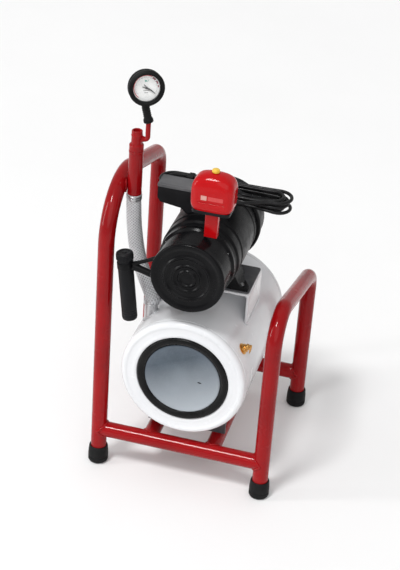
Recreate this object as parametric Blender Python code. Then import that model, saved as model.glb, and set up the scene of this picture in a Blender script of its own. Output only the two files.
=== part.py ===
"""Small direct-drive air compressor on a two-loop tubular frame, with its front towards -Y."""

import math

import bmesh
import bpy
from mathutils import Matrix, Vector

# Driving dimensions, in metres.
GAP = 0.0003  # between neighbours that touch
LARGE, MEDIUM, SMALL = 40, 24, 16  # sides of a round piece, by its size
LEG_X = 0.150  # leg centre lines, either side of the middle
FRONT_LEG_Y = -0.1425
REAR_LEG_Y = 0.1575
TUBE_R = 0.014
TUBE_WALL = 0.002
CROSSBAR_Z = 0.070
RAIL_X = 0.057
FOOT_R = 0.018

TANK_Z = 0.222
TANK_R = 0.111
TANK_WALL = 0.003
TANK_FRONT_Y = -0.1605
TANK_REAR_Y = 0.1195
SEAL_R = 0.0814
COVER_R = 0.0669

MOTOR_Z = 0.430
MOTOR_R = 0.068
PUMP_R = 0.0635
PUMP_FRONT_Y = FRONT_LEG_Y - 0.033
PUMP_REAR_Y = FRONT_LEG_Y + 0.034
MOTOR_REAR_Y = FRONT_LEG_Y + 0.176
SHAFT_R = 0.008

SADDLE_X = 0.084
SADDLE_TOP_Z = 0.355
SADDLE_FRONT_Y = FRONT_LEG_Y + 0.078
SADDLE_REAR_Y = FRONT_LEG_Y + 0.174

SWITCH = Vector((0.025, FRONT_LEG_Y + 0.0125, 0.548))  # middle of the cover's lower edge
RISER = Vector((-LEG_X + TUBE_R + GAP + 0.0125, FRONT_LEG_Y + 0.060, 0.520))  # foot of the riser
RISER_R = 0.0125
GAUGE = Vector((-0.1122, RISER.y, 0.7145))
GAUGE_TURN = math.radians(28)  # the dial looks to the right of the front
GAUGE_TILT = math.radians(8)  # and up
BOOT_R = 0.030

CORD_R = 0.003
HANK = Vector((0.013, FRONT_LEG_Y + 0.147, MOTOR_Z + MOTOR_R + 0.0005))  # middle of its underside
HANK_HALF_LENGTH = 0.118
HANK_HALF_WIDTH = 0.027
HANK_HEIGHT = 0.0185
PLUG_X = 0.024  # middle of the plug's body, which lies inside the hank's loop
PLUG_LENGTH, PLUG_WIDTH, PLUG_HEIGHT = 0.036, 0.026, 0.017
PIN_LENGTH = 0.019


# ---------------------------------------------------------------- materials


def material(name, colour, roughness, metallic=0.0, alpha=1.0):
    made = bpy.data.materials.get(name)
    if made:
        return made
    made = bpy.data.materials.new(name)
    made.use_nodes = True
    shader = made.node_tree.nodes["Principled BSDF"]
    shader.inputs["Base Color"].default_value = (*colour, 1.0)
    shader.inputs["Roughness"].default_value = roughness
    shader.inputs["Metallic"].default_value = metallic
    shader.inputs["Alpha"].default_value = alpha
    return made


def red_paint():
    return material("red_paint", (0.55, 0.010, 0.014), 0.25)


def white_paint():
    return material("white_paint", (0.86, 0.87, 0.89), 0.22)


def black_paint():
    return material("black_paint", (0.012, 0.012, 0.014), 0.38)


def grey_paint():
    return material("grey_paint", (0.07, 0.07, 0.08), 0.45)


def black_rubber():
    return material("black_rubber", (0.014, 0.014, 0.015), 0.62)


def black_plastic():
    return material("black_plastic", (0.013, 0.013, 0.015), 0.42)


def red_plastic():
    return material("red_plastic", (0.62, 0.012, 0.016), 0.20)


def yellow_plastic():
    return material("yellow_plastic", (0.80, 0.55, 0.06), 0.35)


def blue_grey_cover():
    return material("blue_grey_cover", (0.15, 0.19, 0.23), 0.15)


def brass():
    return material("brass", (0.72, 0.42, 0.12), 0.30, 1.0)


def steel():
    return material("steel", (0.45, 0.45, 0.46), 0.35, 1.0)


def lamination_steel():
    return material("lamination_steel", (0.25, 0.25, 0.27), 0.45, 1.0)


def braid():
    return material("braid", (0.50, 0.50, 0.52), 0.50, 0.3)


def dial_white():
    return material("dial_white", (0.90, 0.90, 0.88), 0.45)


def clear_lens():
    return material("clear_lens", (0.95, 0.96, 0.97), 0.05, 0.0, 0.25)


# ---------------------------------------------------------------- shapes


def add(name, mesh_data, finish, smooth_angle=35):
    """Turns a bmesh into a named object with its material, smooth but for its sharp edges."""
    bmesh.ops.recalc_face_normals(mesh_data, faces=mesh_data.faces)
    mesh = bpy.data.meshes.new(name)
    mesh_data.to_mesh(mesh)
    mesh_data.free()
    mesh.shade_smooth()
    mesh.set_sharp_from_angle(angle=math.radians(smooth_angle))
    mesh.materials.append(finish)
    made = bpy.data.objects.new(name, mesh)
    bpy.context.scene.collection.objects.link(made)
    return made


def along(axis):
    """A matrix that takes +Z to the given direction."""
    return Vector(axis).normalized().to_track_quat("Z", "X").to_matrix().to_4x4()


def place(made, matrix):
    """Moves the mesh itself, so that the object's own origin stays the world's."""
    made.data.transform(matrix)
    return made


def set_origin(made, point):
    made.data.transform(Matrix.Translation(-Vector(point)))
    made.location = point
    return made


def turned(name, profile, finish, segments=MEDIUM, base=(0, 0, 0), axis=(0, 0, 1), smooth_angle=35):
    """A solid of revolution. The profile is a list of (radius, height) in a closed loop, or one
    that starts and ends at radius 0."""
    mesh_data = bmesh.new()
    rings = []
    for radius, height in profile:
        if radius == 0:
            rings.append([mesh_data.verts.new((0, 0, height))])
            continue
        ring = []
        for step in range(segments):
            angle = math.tau * step / segments
            ring.append(mesh_data.verts.new((radius * math.cos(angle), radius * math.sin(angle), height)))
        rings.append(ring)
    pairs = list(zip(rings, rings[1:]))
    if profile[0][0] > 0:
        pairs.append((rings[-1], rings[0]))
    for lower, upper in pairs:
        for step in range(segments):
            after = (step + 1) % segments
            corners = [lower[step % len(lower)], lower[after % len(lower)]]
            corners += [upper[after % len(upper)], upper[step % len(upper)]]
            unique = list(dict.fromkeys(corners))
            if len(unique) > 2:
                mesh_data.faces.new(unique)
    made = add(name, mesh_data, finish, smooth_angle)
    return place(made, Matrix.Translation(Vector(base)) @ along(axis))


def arc(centre, radius, start, end, steps):
    """Points of an arc in a plane, from one angle to another in degrees."""
    points = []
    for step in range(steps + 1):
        angle = math.radians(start + (end - start) * step / steps)
        points.append((centre[0] + radius * math.cos(angle), centre[1] + radius * math.sin(angle)))
    return points


def prism(name, outline, finish, low, high, plane="XZ", bevel=0.0):
    """An outline extruded across a plane: XZ is extruded along Y, and XY along Z."""
    mesh_data = bmesh.new()
    ends = []
    for level in (low, high):
        if plane == "XZ":
            ends.append([mesh_data.verts.new((u, level, v)) for u, v in outline])
        else:
            ends.append([mesh_data.verts.new((u, v, level)) for u, v in outline])
    for step in range(len(outline)):
        after = (step + 1) % len(outline)
        mesh_data.faces.new([ends[0][step], ends[0][after], ends[1][after], ends[1][step]])
    for end in ends:
        mesh_data.faces.new(end)
    made = add(name, mesh_data, finish)
    if bevel:
        add_bevel(made, bevel)
    return made


def block(name, low, high, finish, bevel=0.0, segments=2):
    outline = [(low[0], low[1]), (high[0], low[1]), (high[0], high[1]), (low[0], high[1])]
    made = prism(name, outline, finish, low[2], high[2], plane="XY")
    if bevel:
        add_bevel(made, bevel, segments)
    return made


def add_bevel(made, width, segments=2):
    bevel = made.modifiers.new("Edges", "BEVEL")
    bevel.width = width
    bevel.segments = segments
    bevel.limit_method = "ANGLE"
    bevel.angle_limit = math.radians(40)


def combine(made, other, operation):
    """Boolean with a helper that isn't itself part of the object."""
    other.hide_render = True
    other.display_type = "WIRE"
    other.hide_set(True)
    boolean = made.modifiers.new(operation.title(), "BOOLEAN")
    boolean.operation = operation
    boolean.solver = "EXACT"
    boolean.object = other
    return made


def cut_cylinder(made, radius, start, end, segments=MEDIUM):
    """Cuts a round bar of space out of an object, between two points on the bar's axis."""
    start = Vector(start)
    way = Vector(end) - start
    profile = [(0, 0), (radius, 0), (radius, way.length), (0, way.length)]
    name = made.name + "_cutter_" + str(len(made.modifiers))
    cutter = turned(name, profile, steel(), segments, start, way)
    return combine(made, cutter, "DIFFERENCE")


def rounded_route(points, radii, steps=7):
    """A route of straight runs, with each inner corner replaced by an arc of its radius."""
    points = [Vector(point) for point in points]
    route = [points[0]]
    for before, corner, after, radius in zip(points, points[1:], points[2:], radii):
        back = (before - corner).normalized()
        ahead = (after - corner).normalized()
        half = back.angle(ahead) / 2
        centre = corner + (back + ahead).normalized() * radius / math.sin(half)
        first = corner + back * radius / math.tan(half) - centre
        last = corner + ahead * radius / math.tan(half) - centre
        for step in range(steps + 1):
            route.append(centre + first.slerp(last, step / steps).normalized() * radius)
    route.append(points[-1])
    return route


def smooth_route(points, per_span=6):
    """A smooth curve through the given points, by Catmull-Rom spans."""
    points = [Vector(point) for point in points]
    padded = [points[0] * 2 - points[1], *points, points[-1] * 2 - points[-2]]
    route = []
    for before, start, end, after in zip(padded, padded[1:], padded[2:], padded[3:]):
        for step in range(per_span):
            t = step / per_span
            pull = (end - before) * t + (before * 2 - start * 5 + end * 4 - after) * t * t
            pull += (start * 3 - before - end * 3 + after) * t * t * t
            route.append(start + pull / 2)
    route.append(points[-1])
    return route


def pipe(name, route, outer, finish, inner=0.0, sides=SMALL):
    """A round tube swept along a route, solid or with an open bore."""
    mesh_data = bmesh.new()
    count = len(route)
    ways = [(route[min(i + 1, count - 1)] - route[max(i - 1, 0)]).normalized() for i in range(count)]
    across = ways[0].orthogonal().normalized()
    skins = [[], []]
    for point, way in zip(route, ways):
        across = (across - way * across.dot(way)).normalized()
        other = way.cross(across)
        for skin, radius in zip(skins, (outer, inner)):
            if radius:
                ring = []
                for step in range(sides):
                    angle = math.tau * step / sides
                    offset = across * math.cos(angle) + other * math.sin(angle)
                    ring.append(mesh_data.verts.new(point + offset * radius))
                skin.append(ring)
    strips = []
    for skin in skins:
        strips += list(zip(skin, skin[1:]))
    if inner:
        strips += [(skins[0][0], skins[1][0]), (skins[0][-1], skins[1][-1])]
    else:
        mesh_data.faces.new(skins[0][0])
        mesh_data.faces.new(skins[0][-1])
    for lower, upper in strips:
        for step in range(sides):
            after = (step + 1) % sides
            mesh_data.faces.new([lower[step], lower[after], upper[after], upper[step]])
    return add(name, mesh_data, finish)


def rounded_rectangle(half_x, half_y, radius, steps=4):
    outline = []
    corners = ((1, 1, 0), (-1, 1, 90), (-1, -1, 180), (1, -1, 270))
    for side_x, side_y, start in corners:
        centre = (side_x * (half_x - radius), side_y * (half_y - radius))
        outline += arc(centre, radius, start, start + 90, steps)
    return outline


# ---------------------------------------------------------------- frame


def side_loop(name, side, front_corner_z, rear_corner_z, front_radius, rear_radius):
    """One bent tube: up the front leg, back along the sloping top bar and down the rear leg."""
    x = side * LEG_X
    foot_floor = 0.0083
    corners = [
        (x, FRONT_LEG_Y, foot_floor),
        (x, FRONT_LEG_Y, front_corner_z),
        (x, REAR_LEG_Y, rear_corner_z),
        (x, REAR_LEG_Y, foot_floor),
    ]
    route = rounded_route(corners, (front_radius, rear_radius), 7)
    return pipe(name, route, TUBE_R, red_paint(), TUBE_R - TUBE_WALL)


def frame_bar(name, start, end, leg_axis):
    """A straight tube whose ends are coped to fit round the tubes that it is welded to."""
    route = [Vector(start), Vector(end)]
    made = pipe(name, route, TUBE_R, red_paint(), TUBE_R - TUBE_WALL)
    reach = Vector(leg_axis) * 0.04
    for point in route:
        cut_cylinder(made, TUBE_R + GAP, point - reach, point + reach, MEDIUM)
    return made


def frame():
    side_loop("left_loop", -1, 0.571, 0.485, 0.095, 0.036)
    side_loop("right_loop", 1, 0.373, 0.290, 0.052, 0.036)
    for name, y in (("front_crossbar", FRONT_LEG_Y), ("rear_crossbar", REAR_LEG_Y)):
        frame_bar(name, (-LEG_X, y, CROSSBAR_Z), (LEG_X, y, CROSSBAR_Z), (0, 0, 1))
    for name, x in (("left_rail", -RAIL_X), ("right_rail", RAIL_X)):
        frame_bar(name, (x, FRONT_LEG_Y, CROSSBAR_Z), (x, REAR_LEG_Y, CROSSBAR_Z), (1, 0, 0))


def rubber_foot(name, x, y):
    """A ferrule that takes the leg's end in a blind bore."""
    bore = TUBE_R + GAP
    profile = [
        (0, 0),
        (FOOT_R - 0.0025, 0),
        (FOOT_R, 0.0025),
        (FOOT_R, 0.020),
        (FOOT_R - 0.0015, 0.034),
        (bore, 0.034),
        (bore, 0.008),
        (0, 0.008),
    ]
    return turned(name, profile, black_rubber(), MEDIUM, (x, y, 0))


def feet():
    for end, y in (("front", FRONT_LEG_Y), ("rear", REAR_LEG_Y)):
        for side, x in (("left", -LEG_X), ("right", LEG_X)):
            rubber_foot(f"foot_{end}_{side}", x, y)


def tank_cradle(name, y):
    """A folded plate that stands on both rails and holds the tank in a hollow of its own radius."""
    floor = CROSSBAR_Z + TUBE_R + GAP
    sheet = 0.005
    seat = arc((0, TANK_Z), TANK_R + GAP, -51, -129, 14)
    outline = [(-RAIL_X - TUBE_R, floor), (RAIL_X + TUBE_R, floor), *seat]
    made = prism(name, outline, grey_paint(), y, y + sheet)
    low = (-RAIL_X - 0.010, y + 0.001, floor)
    high = (RAIL_X + 0.010, y + 0.032, floor + sheet)
    flange = block(name + "_flange", low, high, grey_paint())
    return combine(made, flange, "UNION")


# ---------------------------------------------------------------- tank


def tank():
    inner = TANK_R - TANK_WALL
    skirt_y = TANK_FRONT_Y + 0.012
    tube = [(TANK_R, skirt_y + GAP), (TANK_R, TANK_REAR_Y), (inner, TANK_REAR_Y), (inner, skirt_y + GAP)]
    turned("tank_shell", tube, white_paint(), LARGE, (0, 0, TANK_Z), (0, 1, 0))
    edge = 0.008
    rounded = [(TANK_R - edge + r, TANK_FRONT_Y + edge + y) for r, y in arc((0, 0), edge, 0, -90, 5)]
    hole = SEAL_R + GAP
    head = [
        *rounded,
        (hole, TANK_FRONT_Y),
        (hole, TANK_FRONT_Y + 0.009),
        (hole + 0.002, TANK_FRONT_Y + 0.009),
        (hole + 0.002, TANK_FRONT_Y + 0.004),
        (TANK_R - edge, TANK_FRONT_Y + 0.004),
        (inner, TANK_FRONT_Y + edge),
        (inner, skirt_y),
        (TANK_R, skirt_y),
    ]
    turned("tank_front_head", head, white_paint(), LARGE, (0, 0, TANK_Z), (0, 1, 0))
    dome = [(TANK_R * math.cos(math.radians(a)), 0.030 * math.sin(math.radians(a))) for a in range(0, 90, 18)]
    base_y = TANK_REAR_Y + 0.006
    outside = [(TANK_R, TANK_REAR_Y + GAP), *[(r, base_y + y) for r, y in dome], (0, base_y + 0.030)]
    shrink = inner / TANK_R
    inside = [(0, base_y + 0.027), *[(r * shrink, base_y + y * 0.9) for r, y in reversed(dome)]]
    inside.append((inner, TANK_REAR_Y + GAP))
    turned("tank_rear_head", outside + inside, white_paint(), LARGE, (0, 0, TANK_Z), (0, 1, 0))


def end_seal():
    """The rubber ring that grips the end cover's edge and fills the front head's hole."""
    proud_y = TANK_FRONT_Y - 0.002
    groove = COVER_R + GAP
    lip = groove - 0.0015
    profile = [
        (SEAL_R - 0.003, proud_y),
        (SEAL_R, proud_y + 0.003),
        (SEAL_R, TANK_FRONT_Y + 0.009),
        (lip, TANK_FRONT_Y + 0.009),
        (lip, TANK_FRONT_Y + 0.0065),
        (groove, TANK_FRONT_Y + 0.0065),
        (groove, proud_y + 0.0025),
        (groove + 0.0025, proud_y),
    ]
    return turned("end_seal", profile, black_rubber(), LARGE, (0, 0, TANK_Z), (0, 1, 0))


def end_cover():
    """A shallow dished disc, lowest in its middle."""
    back_y = TANK_FRONT_Y + 0.0062
    profile = [
        (0, TANK_FRONT_Y + 0.003),
        (0.030, TANK_FRONT_Y + 0.0027),
        (0.055, TANK_FRONT_Y + 0.0018),
        (COVER_R - 0.001, TANK_FRONT_Y + 0.0010),
        (COVER_R, TANK_FRONT_Y + 0.0018),
        (COVER_R, back_y),
        (0, back_y),
    ]
    return turned("end_cover", profile, blue_grey_cover(), LARGE, (0, 0, TANK_Z), (0, 1, 0))


def safety_valve():
    """A brass relief valve that stands square to the shell, low on a hexagon."""
    angle = math.radians(33)
    out = Vector((math.cos(angle), 0, math.sin(angle)))
    start = Vector((0, FRONT_LEG_Y + 0.022, TANK_Z)) + out * (TANK_R + GAP)
    made = turned("safety_valve", [(0, 0), (0.008, 0), (0.008, 0.006), (0, 0.006)], brass(), 6, start, out)
    stem = [(0, 0.001), (0.0055, 0.001), (0.0055, 0.012), (0.0035, 0.0135), (0.0035, 0.017), (0, 0.017)]
    upper = turned("safety_valve_upper", stem, brass(), SMALL, start, out)
    cut_cylinder(made, TANK_R + GAP, (0, start.y - 0.02, TANK_Z), (0, start.y + 0.02, TANK_Z), 128)
    return combine(made, upper, "UNION")


def drain_valve():
    """A petcock under the tank, with a lever that turns on the body's front face."""
    top_z = TANK_Z - TANK_R - GAP
    body = [
        (0, top_z - 0.032),
        (0.0045, top_z - 0.032),
        (0.0045, top_z - 0.022),
        (0.008, top_z - 0.020),
        (0.008, top_z - 0.006),
        (0.006, top_z - 0.004),
        (0.006, top_z),
        (0, top_z),
    ]
    made = turned("drain_valve_body", body, brass(), SMALL)
    cut_cylinder(made, TANK_R + GAP, (0, -0.02, TANK_Z), (0, 0.02, TANK_Z), 128)
    pivot = Vector((0, -0.008 - GAP, top_z - 0.013))
    lever = rounded_rectangle(0.014, 0.004, 0.0035)
    outline = [(x + 0.010, z + pivot.z) for x, z in lever]
    handle = prism("drain_valve_handle", outline, red_plastic(), pivot.y - 0.004, pivot.y)
    return made, set_origin(handle, pivot)


# ---------------------------------------------------------------- saddle and feet of the motor


def tank_top_z(x):
    return TANK_Z + math.sqrt((TANK_R + GAP) ** 2 - x * x)


def motor_saddle():
    """A sheet-metal bridge over the tank, its walls cut to meet the shell."""
    inner = SADDLE_X - 0.004
    low_z = SADDLE_TOP_Z - 0.004
    outline = [
        (SADDLE_X, tank_top_z(SADDLE_X)),
        (SADDLE_X, SADDLE_TOP_Z),
        (-SADDLE_X, SADDLE_TOP_Z),
        (-SADDLE_X, tank_top_z(SADDLE_X)),
        (-inner, tank_top_z(inner)),
        (-inner, low_z),
        (inner, low_z),
        (inner, tank_top_z(inner)),
    ]
    return prism("motor_saddle", outline, white_paint(), SADDLE_FRONT_Y, SADDLE_REAR_Y)


def mounting_plate():
    low = SADDLE_TOP_Z + GAP
    front = SADDLE_FRONT_Y + 0.002
    half = SADDLE_X - 0.001
    high = (half, SADDLE_REAR_Y - 0.003, low + 0.003)
    return block("mounting_plate", (-half, front, low), high, grey_paint())


def motor_feet():
    """One casting that hugs the motor from below and spreads into two bolted feet that narrow to the rear."""
    low = SADDLE_TOP_Z + 0.003 + 2 * GAP
    seat = arc((0, MOTOR_Z), MOTOR_R + GAP, -38, -142, 18)
    outline = [
        (-0.080, low),
        (0.080, low),
        (0.080, low + 0.006),
        (0.064, low + 0.006),
        *seat,
        (-0.064, low + 0.006),
        (-0.080, low + 0.006),
    ]
    front = SADDLE_FRONT_Y + 0.004
    rear = front + 0.042
    made = prism("motor_feet", outline, black_paint(), front, rear)
    for side in (-1, 1):
        corner = [(side * 0.081, front + 0.010), (side * 0.081, rear + 0.001), (side * 0.058, rear + 0.001)]
        corner = corner[::side]
        wedge = prism(f"foot_taper_{side}", corner, black_paint(), low - 0.01, low + 0.012, plane="XY")
        combine(made, wedge, "DIFFERENCE")
    return made


# ---------------------------------------------------------------- pump


PUMP_BORE_R = 0.040
PUMP_ROTOR_R = 0.033
PUMP_BORE_DROP = 0.006
COVER_BACK_Y = PUMP_FRONT_Y + 0.011
PAD_TOP_Z = MOTOR_Z + PUMP_R  # top of the cast pad under the switch


def pump_front_cover():
    """A round cover with three concentric ridges and a raised middle."""
    face = PUMP_FRONT_Y + 0.003
    profile = [(0, face - 0.001), (0.009, face - 0.001)]
    for radius in (0.014, 0.024, 0.039):
        profile += [(radius - 0.0035, face + 0.001), (radius, face - 0.002), (radius + 0.0035, face + 0.001)]
    profile += [
        (0.050, face),
        (PUMP_R - 0.004, face - 0.003),
        (PUMP_R, face + 0.001),
        (PUMP_R, COVER_BACK_Y),
        (0, COVER_BACK_Y),
    ]
    return turned("pump_front_cover", profile, black_paint(), LARGE, (0, 0, MOTOR_Z), (0, 1, 0))


def pump_housing():
    """The body of the vane pump, with a cast pad for the switch on its crown.

    Its bore is set below the shaft, and its rear wall holds a bearing.
    """
    outer = PUMP_R - 0.002
    front = COVER_BACK_Y + GAP
    wall = PUMP_REAR_Y - 0.013
    profile = [
        (0, front),
        (outer, front),
        (outer, PUMP_REAR_Y - 0.012),
        (outer + 0.004, PUMP_REAR_Y - 0.008),
        (outer + 0.004, PUMP_REAR_Y),
        (0, PUMP_REAR_Y),
    ]
    made = turned("pump_housing", profile, black_paint(), LARGE, (0, 0, MOTOR_Z), (0, 1, 0))
    low = (SWITCH.x - 0.016, SWITCH.y - 0.011, PAD_TOP_Z - 0.024)
    high = (SWITCH.x + 0.016, SWITCH.y + 0.011, PAD_TOP_Z)
    combine(made, block("switch_pad", low, high, black_paint()), "UNION")
    bore_z = MOTOR_Z - PUMP_BORE_DROP
    cut_cylinder(made, PUMP_BORE_R, (0, front - 0.01, bore_z), (0, wall, bore_z), 32)
    cut_cylinder(made, SHAFT_R + 0.001, (0, wall - 0.01, MOTOR_Z), (0, PUMP_REAR_Y + 0.01, MOTOR_Z), SMALL)
    seat_y = PUMP_REAR_Y - 0.009
    cut_cylinder(made, 0.016 + GAP, (0, seat_y, MOTOR_Z), (0, PUMP_REAR_Y + 0.01, MOTOR_Z), MEDIUM)
    return made


def pump_rotor():
    """A slotted drum on the shaft, with one radial slot for each vane."""
    front = COVER_BACK_Y + 0.001
    back = PUMP_REAR_Y - 0.014
    bore = SHAFT_R + GAP
    profile = [(PUMP_ROTOR_R, front), (PUMP_ROTOR_R, back), (bore, back), (bore, front)]
    made = turned("pump_rotor", profile, steel(), MEDIUM, (0, 0, MOTOR_Z), (0, 1, 0))
    for index in range(3):
        cutter = vane_block(f"slot_{index}", index, front - 0.002, back + 0.002, 0.0021, 0.014, 0.040)
        combine(made, cutter, "DIFFERENCE")
    return made


def vane_block(name, index, front, back, half_thickness, inner, outer):
    low = (inner, front, -half_thickness)
    high = (outer, back, half_thickness)
    made = block(name, low, high, black_plastic())
    turn = Matrix.Rotation(math.tau * index / 3 + math.radians(90), 4, "Y")
    return place(made, Matrix.Translation((0, 0, MOTOR_Z)) @ turn)


def vanes():
    front = COVER_BACK_Y + 0.001
    back = PUMP_REAR_Y - 0.014
    for index in range(3):
        vane_block(f"vane_{index + 1}", index, front, back, 0.0018, 0.0145, PUMP_ROTOR_R)


# ---------------------------------------------------------------- motor


def motor_shell():
    """The motor's barrel, with a raised band near each end."""
    front = PUMP_REAR_Y + GAP
    inner = MOTOR_R - 0.004
    profile = [
        (MOTOR_R - 0.003, front),
        (MOTOR_R - 0.003, front + 0.010),
        (MOTOR_R, front + 0.014),
        (MOTOR_R, front + 0.030),
        (MOTOR_R - 0.0015, front + 0.032),
        (MOTOR_R - 0.0015, front + 0.038),
        (MOTOR_R, front + 0.040),
        (MOTOR_R, MOTOR_REAR_Y),
        (inner, MOTOR_REAR_Y),
        (inner, front),
    ]
    return turned("motor_shell", profile, black_paint(), LARGE, (0, 0, MOTOR_Z), (0, 1, 0))


def rear_bell():
    """The rear end shield, wider than the barrel, with the rear bearing's seat."""
    front = MOTOR_REAR_Y + GAP
    back = front + 0.014
    rim = 0.073
    profile = [
        (rim - 0.002, front),
        (rim, front + 0.002),
        (rim, back - 0.002),
        (rim - 0.002, back),
        (0.016 + GAP, back),
        (0.016 + GAP, back - 0.009 - GAP),
        (SHAFT_R + 0.001, back - 0.009 - GAP),
        (SHAFT_R + 0.001, front),
    ]
    return turned("rear_bell", profile, black_paint(), LARGE, (0, 0, MOTOR_Z), (0, 1, 0))


COWL_FRONT_Y = MOTOR_REAR_Y + GAP + 0.014 + GAP
COWL_BACK_Y = COWL_FRONT_Y + 0.040


def fan_cowl():
    """A thin cup over the fan, with a ring of round air holes in its back."""
    outer = 0.070
    wall = 0.002
    profile = [
        (outer, COWL_FRONT_Y),
        (outer, COWL_BACK_Y - 0.010),
        (outer - 0.003, COWL_BACK_Y - 0.003),
        (outer - 0.010, COWL_BACK_Y),
        (0.012, COWL_BACK_Y),
        (0.012, COWL_BACK_Y - wall),
        (outer - 0.011, COWL_BACK_Y - wall),
        (outer - wall, COWL_BACK_Y - 0.010),
        (outer - wall, COWL_FRONT_Y),
    ]
    made = turned("fan_cowl", profile, black_paint(), LARGE, (0, 0, MOTOR_Z), (0, 1, 0))
    for index in range(8):
        angle = math.tau * (index + 0.3) / 8
        x = 0.040 * math.cos(angle)
        z = MOTOR_Z + 0.040 * math.sin(angle)
        cut_cylinder(made, 0.009, (x, COWL_BACK_Y - 0.008, z), (x, COWL_BACK_Y + 0.008, z), 10)
    return made


def stator():
    profile = [(0.0637, -0.045), (0.0637, 0.045), (0.037, 0.045), (0.037, -0.045)]
    middle = (0, (PUMP_REAR_Y + MOTOR_REAR_Y) / 2, MOTOR_Z)
    return turned("stator", profile, lamination_steel(), MEDIUM, middle, (0, 1, 0))


def rotor_core():
    bore = SHAFT_R + GAP
    profile = [(0.036, -0.045), (0.036, 0.045), (bore, 0.045), (bore, -0.045)]
    middle = (0, (PUMP_REAR_Y + MOTOR_REAR_Y) / 2, MOTOR_Z)
    return turned("rotor_core", profile, lamination_steel(), MEDIUM, middle, (0, 1, 0))


def motor_shaft():
    front = COVER_BACK_Y + 0.001
    back = COWL_BACK_Y - 0.008
    profile = [(0, front), (SHAFT_R, front), (SHAFT_R, back), (0, back)]
    made = turned("motor_shaft", profile, steel(), SMALL, (0, 0, MOTOR_Z), (0, 1, 0))
    return set_origin(made, (0, 0, MOTOR_Z))


def bearing(name, front):
    bore = SHAFT_R + GAP
    profile = [(0.016, front), (0.016, front + 0.009), (bore, front + 0.009), (bore, front)]
    return turned(name, profile, steel(), SMALL, (0, 0, MOTOR_Z), (0, 1, 0))


def cooling_fan():
    """A hub with seven straight blades."""
    front = COWL_FRONT_Y + 0.006
    bore = SHAFT_R + GAP
    hub = [(0.018, front), (0.018, front + 0.020), (bore, front + 0.020), (bore, front)]
    made = turned("cooling_fan", hub, black_plastic(), MEDIUM, (0, 0, MOTOR_Z), (0, 1, 0))
    for index in range(7):
        low = (0.016, front + 0.003, -0.0012)
        high = (0.060, front + 0.018, 0.0012)
        blade = block(f"fan_blade_{index}", low, high, steel())
        turn = Matrix.Rotation(math.tau * index / 7, 4, "Y")
        place(blade, Matrix.Translation((0, 0, MOTOR_Z)) @ turn)
        combine(made, blade, "UNION")
    return made


# ---------------------------------------------------------------- terminal box and cord


BOX_LEFT_X = -0.088
BOX_RIGHT_X = 0.012
BOX_FRONT_Y = FRONT_LEG_Y + 0.078
BOX_REAR_Y = FRONT_LEG_Y + 0.114
BOX_TOP_Z = 0.531
GLAND_Z = 0.516


def terminal_box():
    """A box that sits on the motor's crown and reaches out to the left."""
    crown = arc((0, MOTOR_Z), MOTOR_R + GAP, 80, 121, 8)
    outline = [
        (BOX_RIGHT_X, BOX_TOP_Z),
        (BOX_RIGHT_X, 0.500),
        *crown,
        (-0.046, 0.498),
        (BOX_LEFT_X + 0.005, 0.503),
        (BOX_LEFT_X, 0.511),
        (BOX_LEFT_X, BOX_TOP_Z),
    ]
    return prism("terminal_box", outline, black_plastic(), BOX_FRONT_Y, BOX_REAR_Y, bevel=0.0012)


def terminal_box_lid():
    low = (BOX_LEFT_X - 0.001, BOX_FRONT_Y - 0.001, BOX_TOP_Z + GAP)
    high = (BOX_RIGHT_X + 0.001, BOX_REAR_Y + 0.001, BOX_TOP_Z + 0.006)
    return block("terminal_box_lid", low, high, grey_paint(), 0.0015)


def cord_gland():
    middle = (BOX_RIGHT_X + GAP, (BOX_FRONT_Y + BOX_REAR_Y) / 2, GLAND_Z)
    bore = CORD_R + GAP
    profile = [(0.007, 0), (0.007, 0.006), (0.0055, 0.008), (0.005, 0.013), (bore, 0.013), (bore, 0)]
    return turned("cord_gland", profile, black_plastic(), SMALL, middle, (1, 0, 0))


def power_cord_lead():
    """The short run from the gland to the front of the hank."""
    gland_y = (BOX_FRONT_Y + BOX_REAR_Y) / 2
    hank_front = HANK.y - HANK_HALF_WIDTH - GAP
    entry_z = HANK.z + 0.0135
    route = [
        (BOX_RIGHT_X + 2 * GAP, gland_y, GLAND_Z),
        (0.028, gland_y, GLAND_Z),
        (0.040, gland_y + 0.001, GLAND_Z - 0.001),
        (0.051, gland_y + 0.006, entry_z + 0.001),
        (0.058, hank_front - 0.008, entry_z),
        (0.058, hank_front - 0.004, entry_z),
        (0.058, hank_front, entry_z),
    ]
    curve = bpy.data.curves.new("power_cord_lead", "CURVE")
    curve.dimensions = "3D"
    curve.bevel_depth = CORD_R
    curve.bevel_resolution = 3
    curve.use_fill_caps = True
    points = smooth_route(route, 3)
    spline = curve.splines.new("POLY")
    spline.points.add(len(points) - 1)
    for point, place_at in zip(spline.points, points):
        point.co = (*place_at, 1.0)
    curve.materials.append(black_rubber())
    made = bpy.data.objects.new("power_cord_lead", curve)
    bpy.context.scene.collection.objects.link(made)
    return made


def power_cord_hank():
    """The outer shape of the wound cord: a flat bundle with round ends, open in the middle round the plug."""
    straight = HANK_HALF_LENGTH - HANK_HALF_WIDTH
    outline = arc((HANK.x + straight, HANK.y), HANK_HALF_WIDTH, -90, 90, 12)
    outline += arc((HANK.x - straight, HANK.y), HANK_HALF_WIDTH, 90, 270, 12)
    top = HANK.z + HANK_HEIGHT
    made = prism("power_cord_hank", outline, black_rubber(), HANK.z, top, plane="XY", bevel=0.002)
    side = PLUG_WIDTH / 2 + 0.0007
    low = (PLUG_X - PLUG_LENGTH / 2 - PIN_LENGTH - 0.003, HANK.y - side, HANK.z - 0.01)
    high = (PLUG_X + PLUG_LENGTH / 2 + GAP, HANK.y + side, top + 0.01)
    combine(made, block("plug_space", low, high, black_rubber()), "DIFFERENCE")
    return made


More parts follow.
